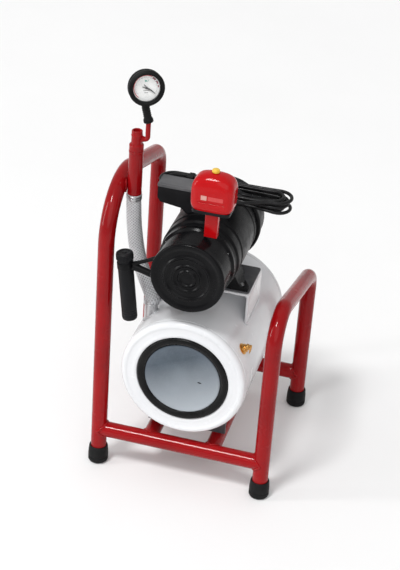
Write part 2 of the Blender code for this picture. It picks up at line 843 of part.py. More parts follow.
def power_plug():
    """A two-pin plug that lies on the motor inside the hank's loop, its pins to the left."""
    half = Vector((PLUG_LENGTH, PLUG_WIDTH, PLUG_HEIGHT)) / 2
    middle = Vector((PLUG_X, HANK.y, HANK.z + half.z))
    made = block("power_plug", middle - half, middle + half, black_plastic(), 0.003)
    for side in (-1, 1):
        start = middle + Vector((0.002 - half.x, side * 0.0075, 0))
        reach = PIN_LENGTH + 0.002
        outline = [(0, 0), (0.0022, 0), (0.0022, reach), (0, reach)]
        pin = turned(f"plug_pin_{side}", outline, steel(), 12, start, (-1, 0, 0))
        combine(made, pin, "UNION")
    return made


# ---------------------------------------------------------------- intake filter


FILTER_TOP = Vector((-0.1135, FRONT_LEG_Y - 0.010, 0.433))
FILTER_FOOT = Vector((-0.0998, FRONT_LEG_Y - 0.010, 0.3185))
FILTER_R = 0.0132


def intake_filter():
    """A slim canister, leaning in at its foot, with a wider cap."""
    way = (FILTER_TOP - FILTER_FOOT).normalized()
    length = (FILTER_TOP - FILTER_FOOT).length
    body = [
        (0, 0),
        (FILTER_R - 0.004, 0),
        (FILTER_R - 0.001, 0.0015),
        (FILTER_R, 0.005),
        (FILTER_R, length),
        (FILTER_R - 0.002, length),
        (FILTER_R - 0.002, 0.004),
        (0, 0.004),
    ]
    turned("filter_canister", body, black_plastic(), MEDIUM, FILTER_FOOT, way)
    cap_r = FILTER_R + 0.0017
    cap = [(0, GAP), (cap_r, GAP), (cap_r, 0.011), (cap_r - 0.002, 0.013), (0, 0.013)]
    turned("filter_cap", cap, black_plastic(), MEDIUM, FILTER_TOP, way)


def intake_arm():
    """A forked casting from the canister to the pump: an air passage below and a stay above."""
    y = FILTER_TOP.y
    hub = Vector((-0.106, y, 0.424))
    made = pipe("intake_arm", [hub, Vector((-0.050, y, 0.409))], 0.0065, black_paint(), sides=16)
    stay = pipe("intake_stay", [hub, Vector((-0.050, y, 0.449))], 0.0035, black_paint(), sides=12)
    combine(made, stay, "UNION")
    cut_cylinder(made, FILTER_R + GAP, FILTER_FOOT, FILTER_TOP, 48)
    cut_cylinder(made, PUMP_R + GAP, (0, y - 0.03, MOTOR_Z), (0, y + 0.03, MOTOR_Z), 96)
    return made


# ---------------------------------------------------------------- pressure switch


def switch_neck():
    """A flat block that stands on the pump's pad and carries the switch."""
    low = (SWITCH.x - 0.011, SWITCH.y - 0.007, PAD_TOP_Z + GAP)
    high = (SWITCH.x + 0.011, SWITCH.y + 0.007, SWITCH.z - 0.006 - GAP)
    return block("switch_neck", low, high, red_paint(), 0.001)


def switch_base():
    outline = [(SWITCH.x + x, SWITCH.y + y) for x, y in rounded_rectangle(0.032, 0.021, 0.008)]
    return prism("switch_base", outline, black_plastic(), SWITCH.z - 0.006, SWITCH.z - GAP, plane="XY")


def switch_cover():
    """A hollow hood, open below, with a domed top and a round hole for the knob."""
    half_x = 0.036
    half_y = 0.024
    hole = 0.0048
    wall = 0.0025
    height = 0.062
    spots = 28

    def ring(mesh_data, inset, level, squareness):
        verts = []
        for step in range(spots):
            angle = math.tau * (step + 0.5) / spots
            c, s = math.cos(angle), math.sin(angle)
            reach = (abs(c) ** squareness + abs(s) ** squareness) ** (-1 / squareness)
            x = SWITCH.x + (half_x - inset) * c * reach
            y = SWITCH.y + (half_y - inset * half_y / half_x) * s * reach
            verts.append(mesh_data.verts.new((x, y, SWITCH.z + level)))
        return verts

    def hole_ring(mesh_data, level):
        verts = []
        for step in range(spots):
            angle = math.tau * (step + 0.5) / spots
            spot = (SWITCH.x + hole * math.cos(angle), SWITCH.y + hole * math.sin(angle), SWITCH.z + level)
            verts.append(mesh_data.verts.new(spot))
        return verts

    mesh_data = bmesh.new()
    outside = [(0.004, 0.0, 4.5), (0.001, 0.006, 4.5), (0.0, 0.016, 4.5), (0.0, 0.034, 4.5)]
    outside += [(0.0015, 0.044, 4.2), (0.0055, 0.052, 3.8), (0.012, 0.0575, 3.2), (0.021, 0.061, 2.6)]
    rings = [ring(mesh_data, *values) for values in outside]
    rings.append(hole_ring(mesh_data, height))
    rings.append(hole_ring(mesh_data, height - wall))
    for inset, level, squareness in reversed(outside):
        inner_level = max(level - wall, 0.0) if level else 0.0
        rings.append(ring(mesh_data, inset + wall, inner_level, squareness))
    for lower, upper in zip(rings, rings[1:] + rings[:1]):
        for step in range(spots):
            after = (step + 1) % spots
            mesh_data.faces.new([lower[step], lower[after], upper[after], upper[step]])
    return add("switch_cover", mesh_data, red_plastic(), 50)


def switch_knob():
    """A push-pull knob on a stem through the hood's hole."""
    top = 0.062 + 0.001
    profile = [
        (0, top - 0.014),
        (0.004, top - 0.014),
        (0.004, top),
        (0.0065, top),
        (0.0065, top + 0.004),
        (0.005, top + 0.0055),
        (0, top + 0.006),
    ]
    made = turned("switch_knob", profile, yellow_plastic(), SMALL, SWITCH)
    return set_origin(made, SWITCH + Vector((0, 0, top)))


# ---------------------------------------------------------------- riser, gauge and hose


def riser():
    tube = [(RISER_R, 0), (RISER_R, 0.080), (RISER_R - 0.003, 0.080), (RISER_R - 0.003, 0)]
    turned("riser_tube", tube, red_paint(), MEDIUM, RISER)
    head = [
        (0, 0.080 + GAP),
        (0.0122, 0.080 + GAP),
        (0.0122, 0.0905),
        (0.0110, 0.0920),
        (0.0092, 0.0920),
        (0.0092, 0.116),
        (0, 0.116),
    ]
    turned("riser_head", head, red_paint(), MEDIUM, RISER)
    start = RISER + Vector((0.0092 + GAP, 0, 0.102))
    turn = start + Vector((0.009, 0, 0))
    end = Vector((turn.x, turn.y, GAUGE.z - BOOT_R - 0.0295))
    pipe("gauge_pipe", rounded_route([start, turn, end], [0.0045], 5), 0.0042, red_paint(), sides=12)
    return end


def gauge_frame():
    """The gauge's own axes: its +Z looks out of the dial."""
    turn = Matrix.Rotation(GAUGE_TURN, 4, "Z")
    tilt = Matrix.Rotation(math.radians(90) - GAUGE_TILT, 4, "X")
    return Matrix.Translation(GAUGE) @ turn @ tilt


def gauge(stem_foot):
    """A rubber boot round the gauge, with its stem, and the dial, needle and lens that it holds."""
    recess = 0.0228
    rim = [(BOOT_R - 0.004 + r, 0.007 + z) for r, z in arc((0, 0), 0.004, 0, 90, 4)]
    cup = [
        (0, -0.010),
        (BOOT_R - 0.006, -0.010),
        (BOOT_R - 0.002, -0.008),
        (BOOT_R, -0.004),
        *rim,
        (recess + 0.002, 0.011),
        (recess, 0.009),
        (recess, -0.005),
        (0, -0.005),
    ]
    boot = place(turned("gauge_boot", cup, black_rubber(), 32), gauge_frame())
    stem_top = GAUGE - Vector((0.001, 0, BOOT_R - 0.004))
    way = stem_top - stem_foot
    length = way.length
    lean_gap = 0.0014  # clears the pipe's level end, because the stem leans
    stem = [
        (0, lean_gap),
        (0.0066, lean_gap),
        (0.0080, 0.002),
        (0.0080, 0.005),
        (0.0068, 0.008),
        (0.0058, length),
        (0, length),
    ]
    combine(boot, turned("gauge_stem", stem, black_rubber(), SMALL, stem_foot, way), "UNION")
    dial = [(0, -0.005 + GAP), (recess - GAP, -0.005 + GAP), (recess - GAP, 0.003), (0, 0.003)]
    place(turned("gauge_dial", dial, dial_white(), 32), gauge_frame())
    lens = [(0, 0.0065), (recess - GAP, 0.0065), (recess - GAP, 0.0078), (0, 0.0085)]
    place(turned("gauge_lens", lens, clear_lens(), 32), gauge_frame())
    return gauge_needle()


def gauge_needle():
    """A tapered pointer with a round hub and a short tail, which points down to the right at rest."""
    hub = arc((0, 0), 0.0022, 35, 145, 5) + arc((0, 0), 0.0022, 215, 325, 5)
    outline = [(0.0175, 0.0), *hub[:6], (-0.0065, 0.0012), (-0.0065, -0.0012), *hub[6:]]
    made = prism("gauge_needle", outline, black_paint(), 0.0042, 0.0050, plane="XY")
    rest = Matrix.Rotation(math.radians(-35), 4, "Z")
    return set_origin(place(made, gauge_frame() @ rest), GAUGE)


NIPPLE = Vector((-0.078, FRONT_LEG_Y + 0.042, 0.322))
HOSE_R = 0.0130


def braided_hose():
    """A stiff braided hose from the riser down to the nipple on the tank's shoulder."""
    start = RISER - Vector((0, 0, GAP))
    end = NIPPLE + Vector((0, 0, GAP))
    drop = Vector((0, 0, 0.009))
    route = [
        start,
        start - drop,
        start - drop * 2,
        Vector((-0.119, FRONT_LEG_Y + 0.059, 0.450)),
        Vector((-0.106, FRONT_LEG_Y + 0.054, 0.395)),
        end + drop * 2,
        end + drop,
        end,
    ]
    return pipe("braided_hose", smooth_route(route, 4), HOSE_R, braid(), sides=16)


def tank_nipple():
    start = NIPPLE - Vector((0, 0, 0.040))
    made = pipe("tank_nipple", [start, NIPPLE], HOSE_R - 0.0015, steel(), sides=24)
    cut_cylinder(made, TANK_R + GAP, (0, NIPPLE.y - 0.03, TANK_Z), (0, NIPPLE.y + 0.03, TANK_Z), 128)
    return made


# ---------------------------------------------------------------- the whole


def clear_scene():
    for old in list(bpy.data.objects):
        bpy.data.objects.remove(old)


def build():
    clear_scene()
    frame()
    feet()
    tank_cradle("tank_cradle_front", FRONT_LEG_Y + 0.040)
    tank_cradle("tank_cradle_rear", FRONT_LEG_Y + 0.215)
    tank()
    end_seal()
    end_cover()
    safety_valve()
    drain_valve()
    motor_saddle()
    mounting_plate()
    motor_feet()
    pump_front_cover()
    pump_housing()
    pump_rotor()
    vanes()
    motor_shell()
    rear_bell()
    fan_cowl()
    stator()
    rotor_core()
    motor_shaft()
    bearing("front_bearing", PUMP_REAR_Y - 0.009 + GAP)
    bearing("rear_bearing", COWL_FRONT_Y - 2 * GAP - 0.009)
    cooling_fan()
    terminal_box()
    terminal_box_lid()
    cord_gland()
    power_cord_lead()
    power_cord_hank()
    power_plug()
    intake_filter()
    intake_arm()
    switch_neck()
    switch_base()
    switch_cover()
    switch_knob()
    stem_foot = riser()
    gauge(stem_foot)
    braided_hose()
    tank_nipple()


build()
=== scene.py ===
"""Looks of the small air compressor: finer meshes, materials, the wound power cord, light and camera."""

import math

import bmesh
import bpy
from mathutils import Matrix, Vector


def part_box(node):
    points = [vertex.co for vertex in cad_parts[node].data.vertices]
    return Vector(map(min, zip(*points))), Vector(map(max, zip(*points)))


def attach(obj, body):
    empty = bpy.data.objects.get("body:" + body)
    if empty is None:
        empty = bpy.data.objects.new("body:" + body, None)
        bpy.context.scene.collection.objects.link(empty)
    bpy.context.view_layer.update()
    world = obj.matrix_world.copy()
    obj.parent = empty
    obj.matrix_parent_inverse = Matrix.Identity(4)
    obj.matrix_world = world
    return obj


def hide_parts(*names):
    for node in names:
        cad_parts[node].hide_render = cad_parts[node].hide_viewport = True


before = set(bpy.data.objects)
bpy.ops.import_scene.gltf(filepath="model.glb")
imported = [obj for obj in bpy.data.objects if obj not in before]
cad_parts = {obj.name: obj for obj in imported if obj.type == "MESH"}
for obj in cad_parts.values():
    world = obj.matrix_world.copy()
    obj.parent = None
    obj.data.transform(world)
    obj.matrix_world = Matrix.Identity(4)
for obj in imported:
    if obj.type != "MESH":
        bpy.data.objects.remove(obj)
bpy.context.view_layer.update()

# Driving dimensions of the CAD model, in metres.
LEG_X = 0.150
FRONT_LEG_Y = -0.1425
REAR_LEG_Y = 0.1575
TUBE_R = 0.014
CROSSBAR_Z = 0.070
RAIL_X = 0.057
TANK_Z = 0.222
TANK_R = 0.111
TANK_FRONT_Y = -0.1605
TANK_REAR_Y = 0.1195
SEAL_R = 0.0814
COVER_R = 0.0669
MOTOR_Z = 0.430
MOTOR_R = 0.068
PUMP_R = 0.0635
BEARING_SEAT_R = 0.0163
SADDLE_X = 0.084
SADDLE_TOP_Z = 0.355
SWITCH = Vector((0.025, FRONT_LEG_Y + 0.0125, 0.548))
RISER = Vector((-0.1232, FRONT_LEG_Y + 0.060, 0.520))
RISER_R = 0.0125
GAUGE = Vector((-0.1122, RISER.y, 0.7145))
GAUGE_TURN = math.radians(28)
GAUGE_TILT = math.radians(8)
NEEDLE_REST = math.radians(-35)
BOOT_R = 0.030
PIPE_R = 0.0042
NIPPLE = Vector((-0.078, FRONT_LEG_Y + 0.042, 0.322))
HOSE_R = 0.013
FILTER_TOP = Vector((-0.1135, FRONT_LEG_Y - 0.010, 0.433))
FILTER_FOOT = Vector((-0.0998, FRONT_LEG_Y - 0.010, 0.3185))
FILTER_R = 0.0132
CORD_R = 0.003
GLAND_Y = FRONT_LEG_Y + 0.096
GLAND_Z = 0.516
UP = Vector((0, 0, 1))
BACK = Vector((0, 1, 0))
ROUND = 96  # sides of a large round piece


# ---------------------------------------------------------------- materials


class Paint:
    """A Principled material under construction: its nodes, links and object coordinates."""

    def __init__(self, name, colour, roughness, metallic=0.0):
        self.material = bpy.data.materials.new(name)
        self.material.use_nodes = True
        self.nodes = self.material.node_tree.nodes
        self.links = self.material.node_tree.links
        self.shader = self.nodes["Principled BSDF"]
        self.shader.inputs["Base Color"].default_value = (*colour, 1)
        self.shader.inputs["Roughness"].default_value = roughness
        self.shader.inputs["Metallic"].default_value = metallic
        self.material.diffuse_color = (*colour, 1)
        self.place = self.nodes.new("ShaderNodeTexCoord").outputs["Object"]
        self.colour_now = colour
        self.colour_out = None
        self.bump_out = None

    def set(self, **values):
        for name, value in values.items():
            self.shader.inputs[name.replace("_", " ")].default_value = value

    def noise(self, scale, detail=3.0, stretch=(1, 1, 1), rough=0.5):
        vector = self.place
        if stretch != (1, 1, 1):
            mapping = self.nodes.new("ShaderNodeMapping")
            mapping.inputs["Scale"].default_value = stretch
            self.links.new(vector, mapping.inputs["Vector"])
            vector = mapping.outputs["Vector"]
        texture = self.nodes.new("ShaderNodeTexNoise")
        texture.inputs["Scale"].default_value = scale
        texture.inputs["Detail"].default_value = detail
        texture.inputs["Roughness"].default_value = rough
        self.links.new(vector, texture.inputs["Vector"])
        return texture.outputs["Fac"]

    def cells(self, scale, feature="F1"):
        texture = self.nodes.new("ShaderNodeTexVoronoi")
        texture.inputs["Scale"].default_value = scale
        texture.feature = feature
        self.links.new(self.place, texture.inputs["Vector"])
        return texture.outputs["Distance"]

    def ranged(self, value, low, high, to_low=0.0, to_high=1.0):
        node = self.nodes.new("ShaderNodeMapRange")
        for name, number in (("From Min", low), ("From Max", high), ("To Min", to_low),
                             ("To Max", to_high)):
            node.inputs[name].default_value = number
        self.links.new(value, node.inputs["Value"])
        return node.outputs["Result"]

    def maths(self, operation, first, second=None):
        node = self.nodes.new("ShaderNodeMath")
        node.operation = operation
        for socket, value in zip(node.inputs, (first, second)):
            if value is None:
                continue
            if isinstance(value, (int, float)):
                socket.default_value = value
            else:
                self.links.new(value, socket)
        return node.outputs[0]

    def tint(self, share, colour):
        """Mixes a colour over what is there, by a share that varies over the surface."""
        mix = self.nodes.new("ShaderNodeMix")
        mix.data_type = "RGBA"
        if self.colour_out is None:
            mix.inputs["A"].default_value = (*self.colour_now, 1)
        else:
            self.links.new(self.colour_out, mix.inputs["A"])
        mix.inputs["B"].default_value = (*colour, 1)
        self.links.new(share, mix.inputs["Factor"])
        self.colour_out = mix.outputs["Result"]
        self.links.new(self.colour_out, self.shader.inputs["Base Color"])

    def mottle(self, colour, scale, detail, low, high, most=1.0, **noise):
        """Tints in soft patches, where the noise is between two levels."""
        self.tint(self.ranged(self.noise(scale, detail, **noise), low, high, 0.0, most), colour)

    def worn(self, scale, detail, low, high, smoothest, roughest, **noise):
        """Roughness that varies in patches."""
        patches = self.ranged(self.noise(scale, detail, **noise), low, high, smoothest, roughest)
        self.links.new(patches, self.shader.inputs["Roughness"])

    def bump(self, height, strength, distance):
        node = self.nodes.new("ShaderNodeBump")
        node.inputs["Strength"].default_value = strength
        node.inputs["Distance"].default_value = distance
        self.links.new(height, node.inputs["Height"])
        if self.bump_out is not None:
            self.links.new(self.bump_out, node.inputs["Normal"])
        self.bump_out = node.outputs["Normal"]
        self.links.new(self.bump_out, self.shader.inputs["Normal"])


def dust(paint, colour, most=0.35, low=0.5):
    """Dust in soft patches, thicker on what looks up."""
    normal = paint.nodes.new("ShaderNodeNewGeometry").outputs["Normal"]
    split = paint.nodes.new("ShaderNodeSeparateXYZ")
    paint.links.new(normal, split.inputs["Vector"])
    upward = paint.ranged(split.outputs["Z"], 0.2, 1.0)
    patches = paint.ranged(paint.noise(38, 5), low, 0.75, 0.0, most)
    paint.tint(paint.maths("MULTIPLY", upward, patches), colour)


def red_paint():
    paint = Paint("frame_red", (0.235, 0.0025, 0.004), 0.2)
    paint.set(Coat_Weight=0.32, Coat_Roughness=0.04, Specular_IOR_Level=0.06)
    paint.mottle((0.32, 0.003, 0.005), 9, 3, 0.35, 0.7)
    paint.mottle((0.21, 0.005, 0.008), 70, 4, 0.52, 0.80, 0.5)
    dust(paint, (0.42, 0.10, 0.09), 0.07)
    chips = paint.ranged(paint.cells(85), 0.022, 0.034, 1.0, 0.0)
    where = paint.ranged(paint.noise(14, 2), 0.64, 0.70)
    paint.tint(paint.maths("MULTIPLY", chips, where), (0.10, 0.07, 0.065))
    paint.worn(55, 4, 0.3, 0.75, 0.14, 0.32)
    paint.bump(paint.noise(420, 2), 0.12, 0.0005)
    paint.bump(paint.noise(60, 3), 0.10, 0.0010)
    return paint.material


def white_paint():
    paint = Paint("tank_white", (0.72, 0.73, 0.75), 0.18)
    paint.set(Coat_Weight=0.2, Coat_Roughness=0.05)
    paint.mottle((0.79, 0.795, 0.81), 6, 3, 0.35, 0.7)
    paint.mottle((0.55, 0.53, 0.50), 24, 6, 0.60, 0.82, 0.30, rough=0.7)
    cracks = paint.ranged(paint.cells(60, "DISTANCE_TO_EDGE"), 0.0, 0.012, 1.0, 0.0)
    few = paint.ranged(paint.noise(16, 4, rough=0.65), 0.62, 0.70, 0.0, 0.6)
    paint.tint(paint.maths("MULTIPLY", cracks, few), (0.22, 0.21, 0.21))
    paint.worn(40, 4, 0.3, 0.75, 0.12, 0.30)
    paint.bump(paint.noise(360, 2), 0.10, 0.0005)
    paint.bump(paint.noise(22, 2), 0.08, 0.0020)
    return paint.material


def cast_black(name, grain, strength, low_rough=0.26, high_rough=0.48):
    paint = Paint(name, (0.0024, 0.0024, 0.0030), 0.30)
    paint.set(Specular_IOR_Level=0.13)
    paint.mottle((0.0055, 0.0055, 0.0063), 30, 4, 0.4, 0.75)
    dust(paint, (0.045, 0.043, 0.042), 0.10)
    paint.worn(85, 5, 0.3, 0.75, low_rough, high_rough)
    paint.bump(paint.noise(grain, 4, rough=0.6), strength, 0.0006)
    return paint.material


def plate_grey():
    paint = Paint("plate_grey", (0.066, 0.066, 0.073), 0.45)
    paint.set(Specular_IOR_Level=0.40)
    paint.mottle((0.085, 0.084, 0.090), 45, 5, 0.4, 0.75)
    paint.mottle((0.15, 0.15, 0.15), 190, 3, 0.62, 0.75, 0.5, stretch=(1, 12, 1))
    dust(paint, (0.20, 0.19, 0.18), 0.3)
    paint.worn(60, 4, 0.3, 0.7, 0.36, 0.58)
    paint.bump(paint.noise(500, 3), 0.15, 0.0004)
    return paint.material


def lid_grey():
    paint = Paint("lid_grey", (0.080, 0.081, 0.086), 0.42)
    paint.mottle((0.105, 0.105, 0.110), 25, 4, 0.4, 0.8)
    dust(paint, (0.20, 0.19, 0.185), 0.30)
    paint.worn(70, 4, 0.3, 0.7, 0.34, 0.52)
    paint.bump(paint.noise(900, 2), 0.22, 0.0004)
    return paint.material


def rubber(name, low_rough, high_rough, light=0.012):
    paint = Paint(name, (0.0045, 0.0045, 0.0050), 0.6)
    paint.set(Specular_IOR_Level=0.15)
    paint.mottle((light, light, light), 40, 5, 0.4, 0.75)
    dust(paint, (0.07, 0.067, 0.065), 0.18)
    paint.worn(90, 4, 0.3, 0.7, low_rough, high_rough)
    paint.bump(paint.noise(700, 3), 0.20, 0.0004)
    return paint.material


def moulded_black():
    paint = Paint("moulded_black", (0.0045, 0.0045, 0.0055), 0.4)
    paint.set(Specular_IOR_Level=0.15)
    paint.mottle((0.010, 0.010, 0.012), 35, 4, 0.4, 0.75)
    dust(paint, (0.075, 0.072, 0.070), 0.18)
    paint.worn(80, 4, 0.3, 0.7, 0.30, 0.50)
    paint.bump(paint.cells(1400), 0.18, 0.0003)
    return paint.material


def gloss_red():
    paint = Paint("hood_red", (0.40, 0.002, 0.004), 0.14)
    paint.set(Coat_Weight=0.24, Coat_Roughness=0.10, Specular_IOR_Level=0.10)
    paint.mottle((0.48, 0.004, 0.006), 16, 3, 0.35, 0.75)
    paint.mottle((0.75, 0.20, 0.18), 150, 3, 0.68, 0.76, 0.25, stretch=(1, 1, 8))
    paint.worn(50, 4, 0.3, 0.75, 0.10, 0.24)
    paint.bump(paint.noise(240, 2), 0.05, 0.0005)
    return paint.material


def gloss_yellow():
    paint = Paint("knob_yellow", (0.80, 0.52, 0.05), 0.3)
    paint.set(Coat_Weight=0.4, Coat_Roughness=0.08)
    paint.mottle((0.62, 0.36, 0.03), 120, 4, 0.5, 0.75, 0.5)
    paint.worn(160, 3, 0.3, 0.7, 0.22, 0.40)
    paint.bump(paint.noise(900, 2), 0.10, 0.0003)
    return paint.material


def disc_blue_grey():
    """The end disc: spun rings, a fine speckle, a paler centre and a painted reflection that lightens it
    towards its lower right.
    """
    paint = Paint("disc_blue_grey", (0.045, 0.064, 0.086), 0.16)
    paint.set(Coat_Weight=0.25, Coat_Roughness=0.05, Specular_IOR_Level=0.35)
    from_middle = paint.nodes.new("ShaderNodeVectorMath")
    from_middle.operation = "SUBTRACT"
    from_middle.inputs[1].default_value = (0, TANK_FRONT_Y, TANK_Z)
    paint.links.new(paint.place, from_middle.inputs[0])
    length = paint.nodes.new("ShaderNodeVectorMath")
    length.operation = "LENGTH"
    paint.links.new(from_middle.outputs["Vector"], length.inputs[0])
    distance = length.outputs["Value"]
    paint.tint(paint.ranged(distance, 0.0, 0.022, 0.16, 0.0), (0.24, 0.28, 0.32))
    paint.tint(paint.ranged(distance, 0.045, COVER_R, 0.0, 0.5), (0.085, 0.105, 0.135))
    paint.mottle((0.20, 0.24, 0.28), 900, 2, 0.50, 0.80, 0.30)
    paint.mottle((0.12, 0.155, 0.19), 20, 4, 0.45, 0.80, 0.5)
    axes = paint.nodes.new("ShaderNodeSeparateXYZ")
    paint.links.new(from_middle.outputs["Vector"], axes.inputs["Vector"])
    # painted reflection: the base colour grows paler towards the lower right, standing in for the floor
    # reflected in the glossy disc
    painted_reflection_slope = paint.maths("SUBTRACT", paint.maths("MULTIPLY", axes.outputs["X"], 0.45), axes.outputs["Z"])
    paint.tint(paint.ranged(painted_reflection_slope, -0.040, 0.080, 0.0, 0.85), (0.46, 0.50, 0.54))
    paint.worn(60, 5, 0.3, 0.75, 0.10, 0.26)
    rings = paint.maths("SINE", paint.maths("MULTIPLY", distance, 5200.0))
    paint.bump(rings, 0.035, 0.0003)
    return paint.material


def metal(name, colour, dark, low_rough, high_rough, stretch=(1, 1, 1)):
    paint = Paint(name, colour, 0.3, 1.0)
    paint.mottle(dark, 60, 5, 0.45, 0.75, 0.7)
    paint.worn(260, 4, 0.3, 0.7, low_rough, high_rough, stretch=stretch)
    paint.bump(paint.noise(420, 3, stretch), 0.10, 0.0003)
    return paint.material


def braid():
    """Two families of wires that cross on the hose's own unrolled surface."""
    paint = Paint("hose_braid", (0.66, 0.67, 0.69), 0.42, 0.15)
    flat = paint.nodes.new("ShaderNodeSeparateXYZ")
    paint.links.new(paint.nodes["Texture Coordinate"].outputs["UV"], flat.inputs["Vector"])
    around = paint.maths("MULTIPLY", flat.outputs["X"], math.tau * 14)
    along = paint.maths("MULTIPLY", flat.outputs["Y"], math.tau * 190)
    left = paint.maths("SINE", paint.maths("ADD", around, along))
    right = paint.maths("SINE", paint.maths("SUBTRACT", around, along))
    height = paint.maths("MAXIMUM", left, right)
    gaps = paint.ranged(height, -0.4, 0.30, 0.75, 0.0)
    paint.tint(gaps, (0.13, 0.13, 0.14))
    paint.mottle((0.14, 0.135, 0.135), 300, 5, 0.56, 0.74, 0.75, rough=0.7)
    paint.mottle((0.80, 0.80, 0.81), 45, 4, 0.5, 0.8, 0.5)
    paint.worn(120, 3, 0.3, 0.7, 0.30, 0.55)
    paint.bump(height, 0.55, 0.0007)
    return paint.material


def printed(name, colour):
    paint = Paint(name, colour, 0.5)
    darker = tuple(channel * 0.82 for channel in colour)
    paint.mottle(darker, 240, 4, 0.45, 0.80, 0.6)
    paint.worn(300, 3, 0.3, 0.7, 0.40, 0.60)
    return paint.material


def glass():
    paint = Paint("lens_glass", (0.95, 0.97, 0.98), 0.04)
    paint.set(Alpha=0.04, IOR=1.5, Coat_Weight=0.3, Coat_Roughness=0.02)
    paint.worn(130, 4, 0.4, 0.8, 0.03, 0.10)
    return paint.material


def cord_black():
    paint = Paint("cord_black", (0.0045, 0.0045, 0.0050), 0.36)
    paint.set(Specular_IOR_Level=0.22)
    paint.mottle((0.010, 0.010, 0.011), 50, 4, 0.4, 0.75)
    dust(paint, (0.075, 0.072, 0.070), 0.18)
    paint.worn(110, 4, 0.3, 0.7, 0.24, 0.44)
    paint.bump(paint.noise(520, 3), 0.14, 0.0004)
    return paint.material


def floor_paint():
    paint = Paint("floor_pale", (0.86, 0.86, 0.86), 0.6)
    paint.mottle((0.89, 0.89, 0.89), 1.5, 3, 0.3, 0.8)
    paint.worn(20, 3, 0.3, 0.7, 0.55, 0.70)
    return paint.material


RED = red_paint()
WHITE = white_paint()
CAST = cast_black("motor_black", 520, 0.28)
SMOOTH_BLACK = cast_black("cover_black", 260, 0.05, 0.20, 0.30)
PLATE = plate_grey()
LID = lid_grey()
RUBBER = rubber("rubber_black", 0.46, 0.66)
SEAL = rubber("seal_black", 0.16, 0.30, 0.008)
MOULDED = moulded_black()
HOOD = gloss_red()
YELLOW = gloss_yellow()
DISC = disc_blue_grey()
BRASS = metal("brass_worn", (0.78, 0.44, 0.13), (0.50, 0.24, 0.06), 0.22, 0.42)
STEEL = metal("steel_worn", (0.56, 0.56, 0.57), (0.34, 0.34, 0.35), 0.24, 0.42)
LAMINATION = metal("lamination_dark", (0.30, 0.30, 0.32), (0.16, 0.15, 0.15), 0.35, 0.55, (1, 9, 1))
BRAID = braid()
DIAL = printed("dial_white_card", (0.93, 0.93, 0.92))
INK = printed("dial_ink", (0.030, 0.030, 0.035))
PINK = printed("dial_red_band", (0.62, 0.09, 0.10))
MAROON = printed("dial_dark_red", (0.30, 0.05, 0.07))
GREEN = printed("dial_green_mark", (0.10, 0.42, 0.33))
NEEDLE = printed("needle_black", (0.015, 0.015, 0.020))
ROSE = printed("mark_rose", (0.60, 0.30, 0.26))
FADED = printed("strip_faded_red", (0.56, 0.045, 0.045))
GLASS = glass()
CORD = cord_black()


# ---------------------------------------------------------------- shapes


def turns(count, offset=0.0):
    """Angles spread evenly round a full turn."""
    return [math.tau * (step + offset) / count for step in range(count)]


def arc(centre, radius, start, end, steps=12):
    points = []
    for step in range(steps + 1):
        angle = math.radians(start + (end - start) * step / steps)
        points.append((centre[0] + radius * math.cos(angle), centre[1] + radius * math.sin(angle)))
    return points


def softened(outline, size, steps=3, closed=True):
    """The outline with each corner rounded by a small curve."""
    if not size:
        return outline
    points = [Vector(point) for point in outline]
    count = len(points)
    result = []
    for index, corner in enumerate(points):
        if not closed and index in (0, count - 1):
            result.append(tuple(corner))
            continue
        before = points[index - 1] - corner
        after = points[(index + 1) % count] - corner
        cut = min(size, before.length * 0.45, after.length * 0.45)
        if cut < 1e-6 or before.angle(after) > math.radians(170):
            result.append(tuple(corner))
            continue
        first = corner + before.normalized() * cut
        last = corner + after.normalized() * cut
        for step in range(steps + 1):
            t = step / steps
            result.append(tuple(first * (1 - t) ** 2 + corner * 2 * t * (1 - t) + last * t * t))
    return result


def standing(base, axis=UP):
    """The matrix that puts +Z of a local shape along an axis, from a base point."""
    turn = Vector(axis).normalized().to_track_quat("Z", "X")
    return Matrix.Translation(Vector(base)) @ turn.to_matrix().to_4x4()


def add_lathe(shape, profile, matrix, sides=ROUND, corner=0.0008, flutes=0, depth=0.0):
    """Turns a profile of (radius, height) round local Z: a closed ring, or from the axis to the axis."""
    ring_shaped = profile[0][0] > 0
    rings = []
    for radius, height in softened(profile, corner, closed=ring_shaped):
        if radius < 1e-7:
            rings.append([shape.verts.new(matrix @ Vector((0, 0, height)))])
            continue
        ring = []
        for angle in turns(sides):
            reach = radius - depth * (0.5 + 0.5 * math.cos(flutes * angle)) if flutes else radius
            spot = Vector((reach * math.cos(angle), reach * math.sin(angle), height))
            ring.append(shape.verts.new(matrix @ spot))
        rings.append(ring)
    pairs = list(zip(rings, rings[1:]))
    if ring_shaped:
        pairs.append((rings[-1], rings[0]))
    for lower, upper in pairs:
        for step in range(sides):
            after = (step + 1) % sides
            corners = [lower[step % len(lower)], lower[after % len(lower)]]
            corners += [upper[after % len(upper)], upper[step % len(upper)]]
            unique = list(dict.fromkeys(corners))
            if len(unique) > 2:
                shape.faces.new(unique)


def disc(radius, low, high):
    """The profile of a plain disc between two levels, for add_lathe."""
    return [(0, low), (radius, low), (radius, high), (0, high)]


def collar(outer, inner, low, high):
    """The profile of a ring between two levels, for add_lathe."""
    return [(outer, low), (outer, high), (inner, high), (inner, low)]


def add_ribs(shape, matrix, count, widest, first, pitch, sides, corner):
    """Ribs along a tapered boot on the cord, each a little smaller than the last."""
    for index in range(count):
        at = first + index * pitch
        ring = collar(widest - index * 0.0004, CORD_R, at, at + 0.0014)
        add_lathe(shape, ring, matrix, sides, corner)


def skin(shape, rings):
    """Quads between each ring of vertices and the next."""
    for lower, upper in zip(rings, rings[1:]):
        for step in range(len(lower)):
            after = (step + 1) % len(lower)
            shape.faces.new([lower[step], lower[after], upper[after], upper[step]])


